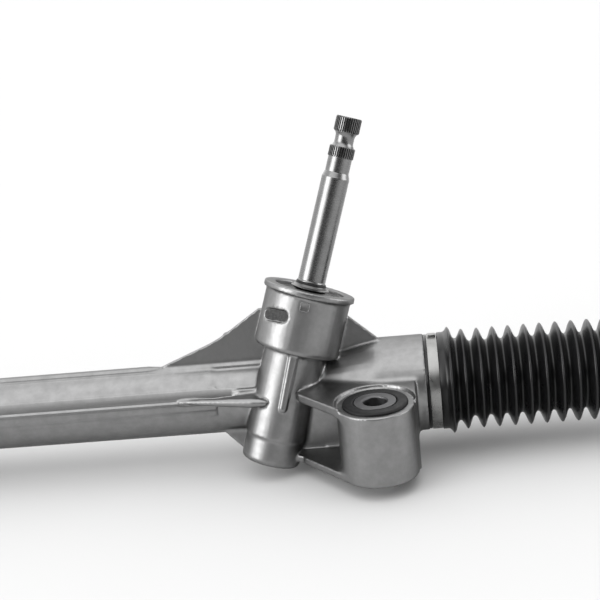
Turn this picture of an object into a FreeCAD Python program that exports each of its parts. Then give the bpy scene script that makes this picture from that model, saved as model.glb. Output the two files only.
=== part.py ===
import FreeCAD
import Part
import Sketcher
import math
import os
import re

# Manual rack-and-pinion steering gear: one cast housing with a leaning pinion tower,
# the rack bar and pinion inside it, and a bellows boot and inner tie rod at each end.
# Millimetres. Origin at the centre of the pinion-side mounting bush, +X along the rack
# towards the pinion-side boot, +Z up along the mounting bolt.

SIZES = {
    # Small things used all over
    "past": 1.0,                # how far a cut or a root reaches past what it meets
    "edge": 1.0,                # chamfer on a turned piece
    "fine_edge": 0.5,
    # Where the rack line, the pinion and the second bush lie from the first bush
    "rack_back": 56.0,          # rack axis behind the mounting bolts
    "rack_rise": 12.3,          # rack axis above the middle of the bush
    "bush_span": 400.0,         # between the two mounting bolts
    "pinion_left": 58.0,        # pinion crossing to the left of the bolt
    "lean": 12.0,               # degrees that the pinion leans back
    "tilt": 18.0,               # degrees that the pinion tilts along the rack
    # Gear
    "centre_distance": 16.0,
    "module_mm": 2.0,           # normal module
    "pinion_teeth": 7,
    "pressure_angle": 20.0,
    "profile_shift": 0.6,       # of a module
    "pinion_tip": 9.8,
    "pinion_root": 6.05,
    "face_half": 15.0,          # half the toothed length of the pinion
    "tooth_steps": 8,           # sections along a helical tooth
    "rack_tip_plane": 9.5,      # tooth tips of the rack from its axis
    "rack_root_plane": 5.85,    # bottoms of the gaps from the rack axis
    "backlash": 0.14,
    "rack_gap_count": 26,
    # Rack bar
    "rack_radius": 13.0,
    "rack_chamfer": 1.5,
    "rack_clearance": 2.5,      # between the rack and the cored bore
    "running_gap": 0.04,        # radial running clearance
    "stud_radius": 7.0,
    "stud_length": 24.0,
    # Tube and end drums of the housing
    "tube_radius": 22.4,
    "drum_radius": 30.8,
    "drum_shoulder": 32.0,      # end face of the drum beyond the bolt
    "drum_length": 30.0,        # straight part of the pinion-side drum
    "far_drum_length": 44.0,
    "drum_slope": 36.0,         # length of the cone from drum to tower
    "far_slope": 16.0,
    "spigot_radius": 27.6,
    "spigot_length": 12.3,
    "socket_bore": 22.0,
    "socket_stop": 20.0,        # stop face of the bore beyond the bolt
    "tube_waist": 0.9,          # the tube is this much slimmer beside the tower
    "waist_length": 45.0,
    # Ribs along the tube
    "rib_width": 6.0,
    "rib_height": 1.5,
    "rib_root": 2.0,            # how deep a rib stands in the tube
    "rib_round": 0.6,
    "rib_gap": 6.0,             # from the far drum's cone to the ribs
    "cone_round": 10.0,
    "top_rib_angle": 4.5,       # degrees that the top rib stands behind the top
    "back_rib_angle": 8.0,
    "front_rib_angle": 22.0,    # middle of the front rib above the horizontal
    "front_rib_half": 4.0,
    "front_rib_height": 1.4,    # at its upper edge, and nothing at the lower one
    # Pointed runner that leaves the tube's front rib and ends on the column
    "spear_length": 60.0,
    "spear_radius": 3.0,
    "spear_nose": 11.0,
    "spear_left": 8.0,          # its tip to the left of the pinion crossing
    "spear_front": 33.4,        # its tip in front of the rack axis
    "spear_rise": 6.8,
    # Pinion tower, measured along the pinion from its crossing with the rack
    "column_foot": -43.0,
    "foot_radius": 18.6,
    "foot_round": 3.5,
    "column_low": -25.8,        # step where the column grows from its foot
    "column_radius": 19.5,
    "collar_low": 31.0,
    "collar_radius": 27.0,
    "rim_low": 67.3,
    "rim_radius": 29.0,
    "tower_top": 71.3,
    "tower_bore": 11.2,
    "bearing_low": 46.0,
    "bearing_width": 12.0,
    "bearing_radius": 20.0,
    "relief_radius": 17.0,
    "relief_depth": 2.0,
    "clip_thick": 1.6,
    "clip_gap": 0.1,
    "clip_groove": 1.2,         # depth of the circlip's groove
    "clip_width": 3.5,
    "clip_angle": 330.0,
    "seal_low": 62.0,
    "seal_radius": 22.0,
    "seal_lip": 2.2,
    "seal_skin": 2.0,
    "hub_radius": 13.1,
    "hub_neck": 9.9,
    "hub_high": 3.0,
    "hub_gap": 0.4,
    "bush_low": -33.0,
    "bush_high": -18.0,
    "bush_radius": 9.0,
    "journal_radius": 6.0,
    "core_plug_radius": 14.0,
    "core_plug_low": -42.0,
    "core_plug_high": -38.5,
    "core_plug_wall": 1.5,
    # Raised strip down the front of the column
    "spine_height": 1.4,
    "spine_left": 2.9,
    "spine_right": 7.3,
    "spine_end_left": 1.2,
    "spine_end_right": 3.4,
    "spine_low": -9.5,
    "spine_round": 2.0,
    # Flat recess and square mark on the collar
    "recess_turn": 40.0,        # degrees to the left of the collar's front
    "recess_middle": 52.0,
    "recess_half": 10.6,
    "recess_high": 8.0,
    "recess_round": 3.9,
    "recess_depth": 2.5,
    "recess_slope": 7.8,
    "mark_middle": 62.0,
    "mark_side": 4.6,
    "mark_depth": 0.4,
    # Gusset plates on the tower: distances to the left of the bolt, heights above the rack
    "gusset_thick": 4.5,
    "gusset_back": 8.0,         # front of the plate behind the pinion axis
    "gusset_low": 12.0,
    "gusset_out": 152.0,
    "gusset_toe": 17.9,
    "gusset_knee_out": 99.5,
    "gusset_knee": 38.0,
    "gusset_knee_round": 80.0,
    "gusset_neck_out": 71.0,
    "gusset_top_in": 32.0,
    "gusset_top": 56.5,
    "gusset_bend_out": 14.4,
    "gusset_bend": 47.3,
    "gusset_in": 16.6,          # its end to the right of the bolt
    "gusset_heel": 20.0,
    "nub_out": 94.0,            # small nub on the edge of the plate
    "nub_half": 2.6,
    "nub_top": 42.7,
    "foot_gusset_out": 107.0,
    "foot_gusset_high": 14.0,   # below the rack axis
    "foot_gusset_low": 33.7,
    "foot_gusset_tip": 87.3,
    "foot_gusset_in": 70.0,
    # Mounting lugs
    "boss_radius": 24.0,
    "boss_half": 22.7,
    "plate_rise": 2.4,          # the lug's top plate above the boss
    "spotface_radius": 24.6,
    "plate_thick": 5.6,
    "foot_thick": 4.6,
    "lug_tip_left": 48.0,
    "lug_tip_back": 19.0,       # tip of the plate behind the bolt
    "lug_edge_angle": 41.0,
    "lug_side": 25.0,
    "lug_round": 8.0,
    "lug_tip_round": 3.0,
    "window_gap": 5.0,          # from the window to the boss's widest line
    "web_front": 24.0,          # front of the lug's back wall before the rack axis
    "web_thick": 5.0,
    "foot_reach": 12.0,         # lower plate past the pinion crossing, in the column
    "far_lug_half": 29.0,       # half the root of the far lug
    "far_lug_low": 19.0,        # its lower face below the rack axis
    "far_lug_angle": 25.0,
    "far_web_half": 15.0,
    # Bushes
    "sleeve_half": 24.5,
    "sleeve_bore": 7.25,
    "sleeve_break": 0.8,
    "sleeve_radius": 10.0,
    "sleeve_flange": 13.0,
    "flange_thick": 2.2,
    "rubber_radius": 17.0,
    "rubber_flange": 20.3,
    # Yoke behind the rack
    "yoke_radius": 15.0,
    "yoke_front": 5.0,
    "yoke_back": 31.0,
    "liner_thick": 0.55,
    "liner_half": 9.0,
    "liner_angle": 100.0,
    "yoke_boss": 21.5,
    "yoke_boss_end": 42.0,
    "plug_radius": 17.0,
    "plug_gap": 0.1,
    "plug_end": 47.5,
    "plug_recess": 2.0,
    "plug_hex": 17.0,
    "locknut_hex": 44.0,
    "locknut_thick": 5.0,
    "spring_pocket": 8.0,
    "spring_seat": 21.0,
    "spring_wire": 1.4,
    "spring_turns": 4.0,
    "ring_section": 1.1,        # radius of the O-ring's section
    "ring_inset": 7.0,
    "ring_groove": 2.5,
    "spring_gap": 0.3,
    "hex_depth": 7.0,
    # Far-end rack bushing
    "bushing_radius": 17.0,
    "bushing_length": 22.0,
    "retainer_thick": 1.5,
    # Pinion shaft above the bearing
    "shaft_radius": 8.75,
    "seat_radius": 9.0,
    "core_radius": 5.9,         # under the pinion's teeth
    "shank_radius": 8.55,       # between the teeth and the bearing
    "runout": 2.0,
    "shoulder_radius": 10.4,
    "shaft_low": 76.0,          # lower end of the plain shaft above the seal land
    "shaft_step": 142.8,
    "step_slope": 3.1,
    "pilot_radius": 7.55,
    "spline_low": 155.1,
    "spline_neck_low": 162.1,
    "spline_neck_high": 171.2,
    "neck_radius": 6.0,
    "neck_slope": 1.5,
    "spline_radius": 8.1,
    "lower_spline_radius": 8.0,
    "spline_root": 7.45,
    "notch_half": 0.62,
    "spline_teeth": 36,
    "shaft_top": 180.8,
    # Bearing
    "ball_pitch": 14.5,
    "ball_radius": 3.4,
    "groove_gap": 0.03,
    "race_edge": 2.5,           # race land from the ball circle
    "ball_count": 9,
    "cage_gap": 0.1,            # between a ball and its hole in the cage
    "cage_thick": 1.8,
    "cage_inset": 1.5,
    # Tie rod and its socket
    "socket_face": 88.0,
    "socket_radius": 19.0,
    "socket_neck": 15.0,
    "neck_length": 5.0,
    "socket_slope": 3.5,
    "socket_rim": 9.3,          # rim of the socket ahead of the ball centre
    "rim_lip": 2.0,
    "flat_depth": 2.0,          # spanner flats of the socket
    "flat_start": 10.0,
    "flat_length": 14.0,
    "ball_centre": 136.5,
    "joint_ball": 13.5,
    "seat_thick": 1.95,
    "seat_behind": 10.0,        # edge of the seat behind the ball centre
    "seat_ahead": 8.0,
    "rod_radius": 7.0,
    "rod_length": 190.0,
    "rod_neck": 6.0,
    "rod_neck_length": 18.0,
    "rod_chamfer": 1.5,
    "rod_flat_depth": 1.2,
    "rod_flat_start": 80.0,     # from the rod's tip
    "rod_flat_length": 12.0,
    "nut_hex": 22.0,
    "nut_thick": 8.0,
    "nut_from_tip": 38.0,
    "thread_radius": 6.5,       # where the rod's thread and the nut's meet
    "thread_length": 62.0,
    # Boot
    "lip_width": 2.0,
    "lip_radius": 30.2,
    "clamp_seat": 29.6,
    "clamp_width": 6.6,
    "clamp_thick": 0.9,
    "ear_high": 1.7,            # ear of the clamp above its band
    "ear_half": 2.2,
    "ear_slope": 0.8,
    "ear_width": 5.3,
    "cuff_radius": 31.0,
    "cuff_width": 4.4,
    "first_crest_x": 47.5,
    "first_crest": 34.0,
    "first_valley": 26.3,
    "crest_radius": 32.0,
    "valley_radius": 24.0,
    "crest_pitch": 10.0,
    "second_crest_x": 56.6,
    "crest_flat": 1.2,
    "crest_count": 18,
    "straight_crests": 10,
    "end_crest": 23.0,
    "end_valley": 17.0,
    "boot_wall": 1.6,
    "small_cuff_x": 234.0,
    "small_cuff_length": 9.0,
    "small_cuff_radius": 10.2,
    "small_clamp_width": 5.0,
    "rod_clearance": 0.3,
}

doc = FreeCAD.newDocument("SteeringRack")
sheet = doc.addObject("Spreadsheet::Sheet", "Sizes")
for row, (alias, number) in enumerate(SIZES.items(), start=1):
    sheet.set("A%d" % row, alias)
    sheet.set("B%d" % row, str(number))
    sheet.setAlias("B%d" % row, alias)
doc.recompute()


def formula(text):
    """Write the sheet's name before each size that the text names."""
    def named(word):
        return "Sizes." + word.group() if word.group() in SIZES else word.group()
    return re.sub(r"[A-Za-z_][A-Za-z_0-9]*", named, str(text))


def value(text):
    """The number that a formula has now."""
    return float(sheet.evalExpression(formula(text)))


def shift(x="0", y="0", z="0"):
    """A placement that only moves."""
    move = "create(<<vector>>; %s; %s; %s)" % (x, y, z)
    return "create(<<placement>>; %s; create(<<rotation>>; create(<<vector>>; 0; 0; 1); 0))" % move


def turn(axis, angle):
    """A placement that only turns about x, y or z, in degrees."""
    along = {"x": "1; 0; 0", "y": "0; 1; 0", "z": "0; 0; 1"}[axis]
    spin = "create(<<rotation>>; create(<<vector>>; %s); %s)" % (along, angle)
    return "create(<<placement>>; create(<<vector>>; 0; 0; 0); %s)" % spin


def frame(*steps):
    """One placement after another."""
    return " * ".join(steps)


RACK_LINE = shift(y="rack_back", z="rack_rise")
LEANING = turn("x", "-lean")
PINION_FOOT = frame(LEANING, shift("-pinion_left", "-centre_distance"), turn("y", "tilt"))
YOKE_FOOT = frame(LEANING, shift("-pinion_left"))
TOWER = frame(RACK_LINE, PINION_FOOT)
UPRIGHT = turn("x", "90")
ENDS = {"right": RACK_LINE, "left": frame(RACK_LINE, shift("-bush_span"), turn("z", "180"))}
BUSHES = {"right": shift(), "left": shift("-bush_span")}

nodes = []


def node(part, label, placement):
    """Name a finished piece, put it in its place and list it for export."""
    part.Label = label
    part.setExpression("Placement", formula(placement))
    nodes.append(part)
    return part


def body(label, placement):
    """An empty body for one piece."""
    return node(doc.addObject("PartDesign::Body", label), label, placement)


def sketch_in(owner, name, at):
    """A sketch on the body's own XY plane, moved to where the feature is."""
    sketch = owner.newObject("Sketcher::SketchObject", name)
    plane = [item for item in owner.Origin.OriginFeatures if item.Role == "XY_Plane"][0]
    sketch.AttachmentSupport = [(plane, "")]
    sketch.MapMode = "FlatFace"
    sketch.setExpression("AttachmentOffset", formula(at))
    return sketch


def pin_point(rules, geometry, end, x, y):
    """Rules that hold one point of a sketch at two formulas."""
    for kind, text, axis in (("DistanceX", x, -2), ("DistanceY", y, -1)):
        if abs(value(text)) < 1e-9:
            rules.append((Sketcher.Constraint("PointOnObject", geometry, end, axis), None))
        else:
            rules.append((Sketcher.Constraint(kind, -1, 1, geometry, end, value(text)), text))


def constrain(sketch, rules):
    """Give a sketch its rules at once, then tie the sizes among them to the sheet."""
    sketch.addConstraint([rule for rule, text in rules])
    for index, (rule, text) in enumerate(rules):
        if text is not None:
            sketch.setExpression("Constraints[%d]" % index, formula(text))


def outline(owner, name, corners, at=turn("z", "0")):
    """A closed outline. A corner is x, y and, where it is rounded, a radius."""
    sketch = sketch_in(owner, name, at)
    count = len(corners)
    points = [FreeCAD.Vector(value(corner[0]), value(corner[1]), 0) for corner in corners]
    starts, ends, arcs = list(points), list(points), {}
    for i, corner in enumerate(corners):
        if len(corner) < 3:
            continue
        back = (points[i - 1] - points[i]).normalize()
        ahead = (points[(i + 1) % count] - points[i]).normalize()
        radius = value(corner[2])
        half = back.getAngle(ahead) / 2
        reach = radius / math.tan(half)
        ends[i] = points[i] + back * reach
        starts[i] = points[i] + ahead * reach
        middle = points[i] + (back + ahead).normalize() * (radius / math.sin(half))
        arcs[i] = (middle, radius, back.cross(ahead).z < 0)
    sketch.addGeometry([Part.LineSegment(starts[i], ends[(i + 1) % count]) for i in range(count)], False)
    rules = []
    for i, corner in enumerate(corners):
        before = (i - 1) % count
        if i not in arcs:
            rules.append((Sketcher.Constraint("Coincident", before, 2, i, 1), None))
            pin_point(rules, i, 1, corner[0], corner[1])
            continue
        middle, radius, anticlockwise = arcs[i]
        first, last = (ends[i], starts[i]) if anticlockwise else (starts[i], ends[i])
        angles = [math.atan2(p.y - middle.y, p.x - middle.x) for p in (first, last)]
        circle = Part.Circle(middle, FreeCAD.Vector(0, 0, 1), radius)
        arc = sketch.addGeometry(Part.ArcOfCircle(circle, angles[0], angles[1]), False)
        peak = sketch.addGeometry(Part.Point(points[i]), True)
        near, far = (1, 2) if anticlockwise else (2, 1)
        rules.append((Sketcher.Constraint("Tangent", before, 2, arc, near), None))
        rules.append((Sketcher.Constraint("Tangent", arc, far, i, 1), None))
        rules.append((Sketcher.Constraint("Radius", arc, radius), corner[2]))
        rules.append((Sketcher.Constraint("PointOnObject", peak, 1, before), None))
        rules.append((Sketcher.Constraint("PointOnObject", peak, 1, i), None))
        pin_point(rules, peak, 1, corner[0], corner[1])
    constrain(sketch, rules)
    return sketch


def rings(owner, name, circles, at=turn("z", "0")):
    """A sketch of circles, each with its centre x, y and radius."""
    sketch = sketch_in(owner, name, at)
    rules = []
    for x, y, radius in circles:
        centre = FreeCAD.Vector(value(x), value(y), 0)
        ring = sketch.addGeometry(Part.Circle(centre, FreeCAD.Vector(0, 0, 1), value(radius)), False)
        pin_point(rules, ring, 3, x, y)
        rules.append((Sketcher.Constraint("Radius", ring, value(radius)), radius))
    constrain(sketch, rules)
    return sketch


def volume(owner):
    """What the body holds so far."""
    doc.recompute()
    return owner.Shape.Volume if not owner.Shape.isNull() else 0.0


def feature(owner, kind, sketch, both_ways=False, **sizes):
    """A feature made from a sketch. It has to add or take away material."""
    before = volume(owner)
    made = owner.newObject("PartDesign::" + kind, sketch.Name + "_" + kind)
    made.Profile = sketch
    if "axis" in sizes:
        made.ReferenceAxis = (sketch, [sizes["axis"]])
        made.Angle = 360
        if "angle" in sizes:
            made.setExpression("Angle", formula(sizes["angle"]))
    else:
        made.setExpression("Length", formula(sizes["length"]))
        if both_ways:
            made.SideType = "Symmetric"
    made.Refine = False
    sketch.Visibility = False
    gained = volume(owner) - before
    wanted = -1 if kind in ("Pocket", "Groove") else 1
    if gained * wanted <= 0:
        raise SystemExit("%s changes nothing: %.3f" % (made.Name, gained))
    return made


def around(owner, name, pattern_axis, original, count):
    """Repeat a feature around an axis."""
    doc.recompute()
    pattern = owner.newObject("PartDesign::PolarPattern", name)
    pattern.Originals = [original]
    pattern.Axis = pattern_axis
    pattern.Angle = 360
    pattern.setExpression("Occurrences", formula(count))
    owner.Tip = pattern
    doc.recompute()
    return pattern


def half_disc(owner, name, x, radius):
    """Half a disc standing on the sketch's x axis, to be turned into a ball."""
    sketch = sketch_in(owner, name, turn("z", "0"))
    centre = FreeCAD.Vector(value(x), 0, 0)
    reach = FreeCAD.Vector(value(radius), 0, 0)
    circle = Part.Circle(centre, FreeCAD.Vector(0, 0, 1), value(radius))
    arc = sketch.addGeometry(Part.ArcOfCircle(circle, 0, math.pi), False)
    base = sketch.addGeometry(Part.LineSegment(centre - reach, centre + reach), False)
    rules = [(Sketcher.Constraint("Coincident", arc, 1, base, 2), None),
             (Sketcher.Constraint("Coincident", arc, 2, base, 1), None),
             (Sketcher.Constraint("PointOnObject", base, 1, -1), None),
             (Sketcher.Constraint("PointOnObject", base, 2, -1), None),
             (Sketcher.Constraint("Radius", arc, value(radius)), radius)]
    pin_point(rules, arc, 3, x, "0")
    constrain(sketch, rules)
    return sketch


def hexagon(across):
    """Corners of a hexagon from its size across the flats."""
    turns = range(0, 360, 60)
    return [("(%s) / sqrt(3) * cos(%d)" % (across, angle), "(%s) / sqrt(3) * sin(%d)" % (across, angle))
            for angle in turns]


def rectangle(half_x, half_y, radius):
    """Corners of a rectangle about the sketch's origin, all rounded alike."""
    signs = (("-", "-"), ("", "-"), ("", ""), ("-", ""))
    return [(x + half_x, y + half_y, radius) for x, y in signs]


def make_lugs(housing):
    """The two mounting lugs, before the round forms cover their roots."""
    plan = [("-lug_tip_left - lug_tip_round * 2", "0"),
            ("-lug_tip_left", "-rack_back + lug_tip_back", "lug_tip_round"),
            ("-boss_radius * cos(lug_edge_angle)", "-rack_back - boss_radius * sin(lug_edge_angle)"),
            ("0", "-rack_back"),
            ("lug_side", "-rack_back"),
            ("lug_side", "0")]
    low = shift(z="-rack_rise - boss_half")
    lug = outline(housing, "lug_plan", plan, low)
    feature(housing, "Pad", lug, length="2 * boss_half + plate_rise")
    window_left, window_right = "-lug_tip_left - foot_reach", "-boss_radius + window_gap"
    window_low = "-rack_rise - boss_half + foot_thick"
    window_high = "-rack_rise + boss_half + plate_rise - plate_thick"
    window = [(window_left, window_low),
              (window_right, window_low, "lug_round / 2"),
              (window_right, window_high, "lug_round"),
              (window_left, window_high)]
    opening = outline(housing, "lug_window", window, UPRIGHT)
    feature(housing, "Pocket", opening, both_ways=True, length="4 * rack_back")
    web = [(window_left, "-web_front"),
           (window_right + " + past", "-web_front"),
           (window_right + " + past", "-web_front + web_thick"),
           (window_left, "-web_front + web_thick")]
    feature(housing, "Pad", outline(housing, "lug_web", web, low), length="2 * boss_half")
    foot = [("-pinion_left - foot_reach", "-web_front"),
            ("-lug_tip_left + past", "-rack_back + lug_tip_back + past"),
            ("-boss_radius", "-rack_back + boss_radius / 4"),
            ("-boss_radius", "-web_front + web_thick"),
            ("-pinion_left - foot_reach", "-web_front + 2 * web_thick")]
    feature(housing, "Pad", outline(housing, "lug_foot", foot, low), length="foot_thick")
    far_plan = [("-bush_span - far_lug_half", "0"),
                ("-bush_span - far_lug_half", "-far_lug_half"),
                ("-bush_span - boss_radius * cos(far_lug_angle)",
                 "-rack_back - boss_radius * sin(far_lug_angle)"),
                ("-bush_span", "-rack_back"),
                ("-bush_span + boss_radius * cos(far_lug_angle)",
                 "-rack_back - boss_radius * sin(far_lug_angle)"),
                ("-bush_span + far_lug_half", "-far_lug_half"),
                ("-bush_span + far_lug_half", "0")]
    far_lug = outline(housing, "far_lug_plan", far_plan, shift(z="-far_lug_low"))
    feature(housing, "Pad", far_lug, length="far_lug_low - rack_rise + boss_half")
    for side in ("-", "+"):
        near, far = "far_web_half", "far_lug_half + past"
        far_window = [("-bush_span %s (%s)" % (side, far), "-far_lug_low + foot_thick"),
                      ("-bush_span %s (%s)" % (side, near), "-far_lug_low + foot_thick", "lug_round / 2"),
                      ("-bush_span %s (%s)" % (side, near), "-rack_rise + boss_half - foot_thick",
                       "lug_round / 2"),
                      ("-bush_span %s (%s)" % (side, far), "-rack_rise + boss_half - foot_thick")]
        name = "far_window_" + ("left" if side == "-" else "right")
        far_opening = outline(housing, name, far_window, UPRIGHT)
        feature(housing, "Pocket", far_opening, both_ways=True, length="4 * rack_back")
    bosses = [("0", "-rack_back", "boss_radius"), ("-bush_span", "-rack_back", "boss_radius")]
    feature(housing, "Pad", rings(housing, "bosses", bosses, low), length="2 * boss_half")


def make_tube(housing):
    """The tube with its end drums, spigots and ribs."""
    far_end = "-bush_span - drum_shoulder"
    waist = "(tube_radius - tube_waist)"
    profile = [(far_end + " - spigot_length", "0"),
               (far_end + " - spigot_length", "spigot_radius"),
               (far_end, "spigot_radius"),
               (far_end, "drum_radius"),
               (far_end + " + far_drum_length", "drum_radius", "cone_round"),
               (far_end + " + far_drum_length + far_slope", "tube_radius", "cone_round"),
               ("-pinion_left - waist_length - 2 * past", "tube_radius"),
               ("-pinion_left - waist_length + 2 * past", waist),
               ("-pinion_left + column_radius / 2", waist, "cone_round"),
               ("drum_shoulder - drum_length - drum_slope", "tube_radius + past", "cone_round"),
               ("drum_shoulder - drum_length", "drum_radius", "2 * cone_round"),
               ("drum_shoulder", "drum_radius"),
               ("drum_shoulder", "spigot_radius"),
               ("drum_shoulder + spigot_length", "spigot_radius"),
               ("drum_shoulder + spigot_length", "0")]
    feature(housing, "Revolution", outline(housing, "tube_profile", profile), axis="H_Axis")
    strip = [("tube_radius - rib_root", "-rib_width / 2"),
             ("tube_radius + rib_height", "-rib_width / 2", "rib_round"),
             ("tube_radius + rib_height", "rib_width / 2", "rib_round"),
             ("tube_radius - rib_root", "rib_width / 2")]
    front_strip = [("tube_radius - rib_root", "-front_rib_half"),
                   ("tube_radius + front_rib_height", "-front_rib_half", "rib_round"),
                   ("tube_radius", "front_rib_half"),
                   ("tube_radius - rib_root", "front_rib_half")]
    start = "-bush_span + far_drum_length - drum_shoulder + rib_gap"
    reach = "bush_span - far_drum_length + drum_shoulder - rib_gap - pinion_left"
    for name, angle, section in (("top_rib", "90 + top_rib_angle", strip),
                                 ("front_rib", "180 - front_rib_angle", front_strip),
                                 ("foot_rib", "-90", strip),
                                 ("back_rib", "-back_rib_angle", strip)):
        at = frame(shift(start), turn("x", angle), turn("z", "90"), turn("x", "90"))
        feature(housing, "Pad", outline(housing, name, section, at), length=reach)
    tip = "-pinion_left - spear_left"
    root = tip + " - spear_length"
    spear = [(root, "spear_rise"),
             (tip + " - spear_nose", "spear_rise - spear_radius"),
             (tip, "spear_rise"),
             (tip + " - spear_nose", "spear_rise + spear_radius")]
    spear_at = frame(shift(y="-(spear_front + tube_radius) / 2"), UPRIGHT)
    feature(housing, "Pad", outline(housing, "spear", spear, spear_at), both_ways=True,
            length="spear_front - tube_radius + 4 * rib_root")
    slant = [(root + " - past", "-tube_radius"),
             (root + " - past", "-spear_front - 4 * rib_root"),
             (tip + " + past", "-spear_front - 4 * rib_root"),
             (tip + " + past", "-spear_front")]
    slant_sketch = outline(housing, "spear_slant", slant, shift(z="spear_rise"))
    feature(housing, "Pocket", slant_sketch, both_ways=True, length="4 * spear_radius")


def make_tower(housing):
    """The column and collar of the pinion, its gussets and the yoke boss behind."""
    profile = [("0", "column_foot"),
               ("foot_radius", "column_foot", "foot_round"),
               ("foot_radius", "column_low"),
               ("column_radius - fine_edge", "column_low"),
               ("column_radius", "column_low + fine_edge"),
               ("column_radius", "collar_low", "1.5 * edge"),
               ("collar_radius - edge", "collar_low", "edge"),
               ("collar_radius", "collar_low + 2 * edge"),
               ("collar_radius", "rim_low", "edge"),
               ("rim_radius", "rim_low + fine_edge"),
               ("rim_radius", "tower_top - fine_edge"),
               ("rim_radius - fine_edge", "tower_top"),
               ("0", "tower_top")]
    standing = frame(PINION_FOOT, UPRIGHT)
    feature(housing, "Revolution", outline(housing, "tower_profile", profile, standing), axis="V_Axis")
    plate_at = frame(LEANING, shift(y="-centre_distance + gusset_back + gusset_thick / 2"), UPRIGHT)
    upper = [("-gusset_out", "gusset_low"),
             ("-gusset_out", "gusset_toe"),
             ("-gusset_knee_out", "gusset_knee", "gusset_knee_round"),
             ("-gusset_neck_out", "gusset_top"),
             ("-gusset_top_in", "gusset_top"),
             ("-gusset_bend_out", "gusset_bend"),
             ("gusset_in", "gusset_heel"),
             ("gusset_in", "gusset_low")]
    feature(housing, "Pad", outline(housing, "gusset", upper, plate_at), both_ways=True,
            length="gusset_thick")
    nub = [("-nub_out - nub_half - edge", "gusset_knee"),
           ("-nub_out", "nub_top"),
           ("-nub_out + nub_half - edge", "nub_top"),
           ("-nub_out + nub_half", "gusset_knee")]
    feature(housing, "Pad", outline(housing, "gusset_nub", nub, plate_at), both_ways=True,
            length="gusset_thick / 2")
    lower = [("-foot_gusset_out", "-foot_gusset_high"),
             ("-foot_gusset_tip", "-foot_gusset_low"),
             ("-foot_gusset_in", "-foot_gusset_low"),
             ("-foot_gusset_in", "-foot_gusset_high")]
    feature(housing, "Pad", outline(housing, "lower_gusset", lower, plate_at), both_ways=True,
            length="gusset_thick")
    spine = [("-spine_left", "collar_low + past"),
             ("spine_right", "collar_low + past"),
             ("spine_end_right", "spine_low", "spine_round"),
             ("-spine_end_left", "spine_low", "spine_round")]
    spine_at = frame(PINION_FOOT, shift(y="-column_radius / 2 - spine_height / 2"), UPRIGHT)
    feature(housing, "Pad", outline(housing, "spine", spine, spine_at), both_ways=True,
            length="column_radius + spine_height")
    boss = [("0", "0"),
            ("yoke_boss", "0"),
            ("yoke_boss", "yoke_boss_end - edge"),
            ("yoke_boss - edge", "yoke_boss_end"),
            ("0", "yoke_boss_end")]
    feature(housing, "Revolution", outline(housing, "yoke_boss", boss, YOKE_FOOT), axis="V_Axis")


def bore_housing(housing):
    """Every bore of the casting, after its outside is whole."""
    inner = "rack_radius + rack_clearance"
    far_stop = "-bush_span - socket_stop"
    line = [(far_stop + " - 2 * socket_stop", "0"),
            (far_stop + " - 2 * socket_stop", "socket_bore"),
            (far_stop, "socket_bore"),
            (far_stop, "bushing_radius"),
            (far_stop + " + retainer_thick + bushing_length", "bushing_radius"),
            (far_stop + " + retainer_thick + bushing_length", inner),
            ("socket_stop", inner),
            ("socket_stop", "socket_bore"),
            ("3 * socket_stop", "socket_bore"),
            ("3 * socket_stop", "0")]
    feature(housing, "Groove", outline(housing, "rack_bore", line), axis="H_Axis")
    clip_low = "bearing_low + bearing_width + clip_gap"
    clip_high = clip_low + " + clip_thick + 2 * clip_gap"
    stepped = [("0", "column_foot - past"),
               ("core_plug_radius", "column_foot - past"),
               ("core_plug_radius", "core_plug_high"),
               ("bush_radius", "core_plug_high"),
               ("bush_radius", "bush_high"),
               ("tower_bore", "bush_high"),
               ("tower_bore", "bearing_low - relief_depth"),
               ("relief_radius", "bearing_low - relief_depth"),
               ("relief_radius", "bearing_low"),
               ("bearing_radius", "bearing_low"),
               ("bearing_radius", clip_low),
               ("bearing_radius + clip_groove", clip_low),
               ("bearing_radius + clip_groove", clip_high),
               ("bearing_radius", clip_high),
               ("bearing_radius", "seal_low"),
               ("seal_radius", "seal_low"),
               ("seal_radius", "tower_top + past"),
               ("0", "tower_top + past")]
    standing = frame(PINION_FOOT, UPRIGHT)
    feature(housing, "Groove", outline(housing, "pinion_bore", stepped, standing), axis="V_Axis")
    back = [("0", "0"),
            ("yoke_radius", "0"),
            ("yoke_radius", "yoke_back"),
            ("plug_radius", "yoke_back"),
            ("plug_radius", "yoke_boss_end + past"),
            ("0", "yoke_boss_end + past")]
    feature(housing, "Groove", outline(housing, "yoke_bore", back, YOKE_FOOT), axis="V_Axis")
    holes = [("0", "-rack_back", "rubber_radius"), ("-bush_span", "-rack_back", "rubber_radius")]
    middle = shift(z="-rack_rise")
    feature(housing, "Pocket", rings(housing, "bush_holes", holes, middle), both_ways=True,
            length="4 * boss_half")
    spot = rings(housing, "spotface", [("0", "-rack_back", "spotface_radius")],
                 shift(z="-rack_rise + boss_half + 2 * plate_rise"))
    feature(housing, "Pocket", spot, length="2 * plate_rise")
    recess_at = frame(PINION_FOOT, turn("z", "-recess_turn"),
                      shift(y="-collar_radius - recess_depth", z="recess_middle"),
                      turn("y", "-recess_slope"), UPRIGHT)
    recess = rectangle("recess_half", "recess_high / 2", "recess_round")
    feature(housing, "Pocket", outline(housing, "collar_recess", recess, recess_at), both_ways=True,
            length="4 * recess_depth")
    mark_at = frame(PINION_FOOT, shift(y="-collar_radius - mark_depth", z="mark_middle"), UPRIGHT)
    mark = rectangle("mark_side / 2", "mark_side / 2", "edge")
    feature(housing, "Pocket", outline(housing, "collar_mark", mark, mark_at), both_ways=True,
            length="4 * mark_depth")


housing = body("gear_housing", RACK_LINE)
make_lugs(housing)
make_tube(housing)
make_tower(housing)
bore_housing(housing)

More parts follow.
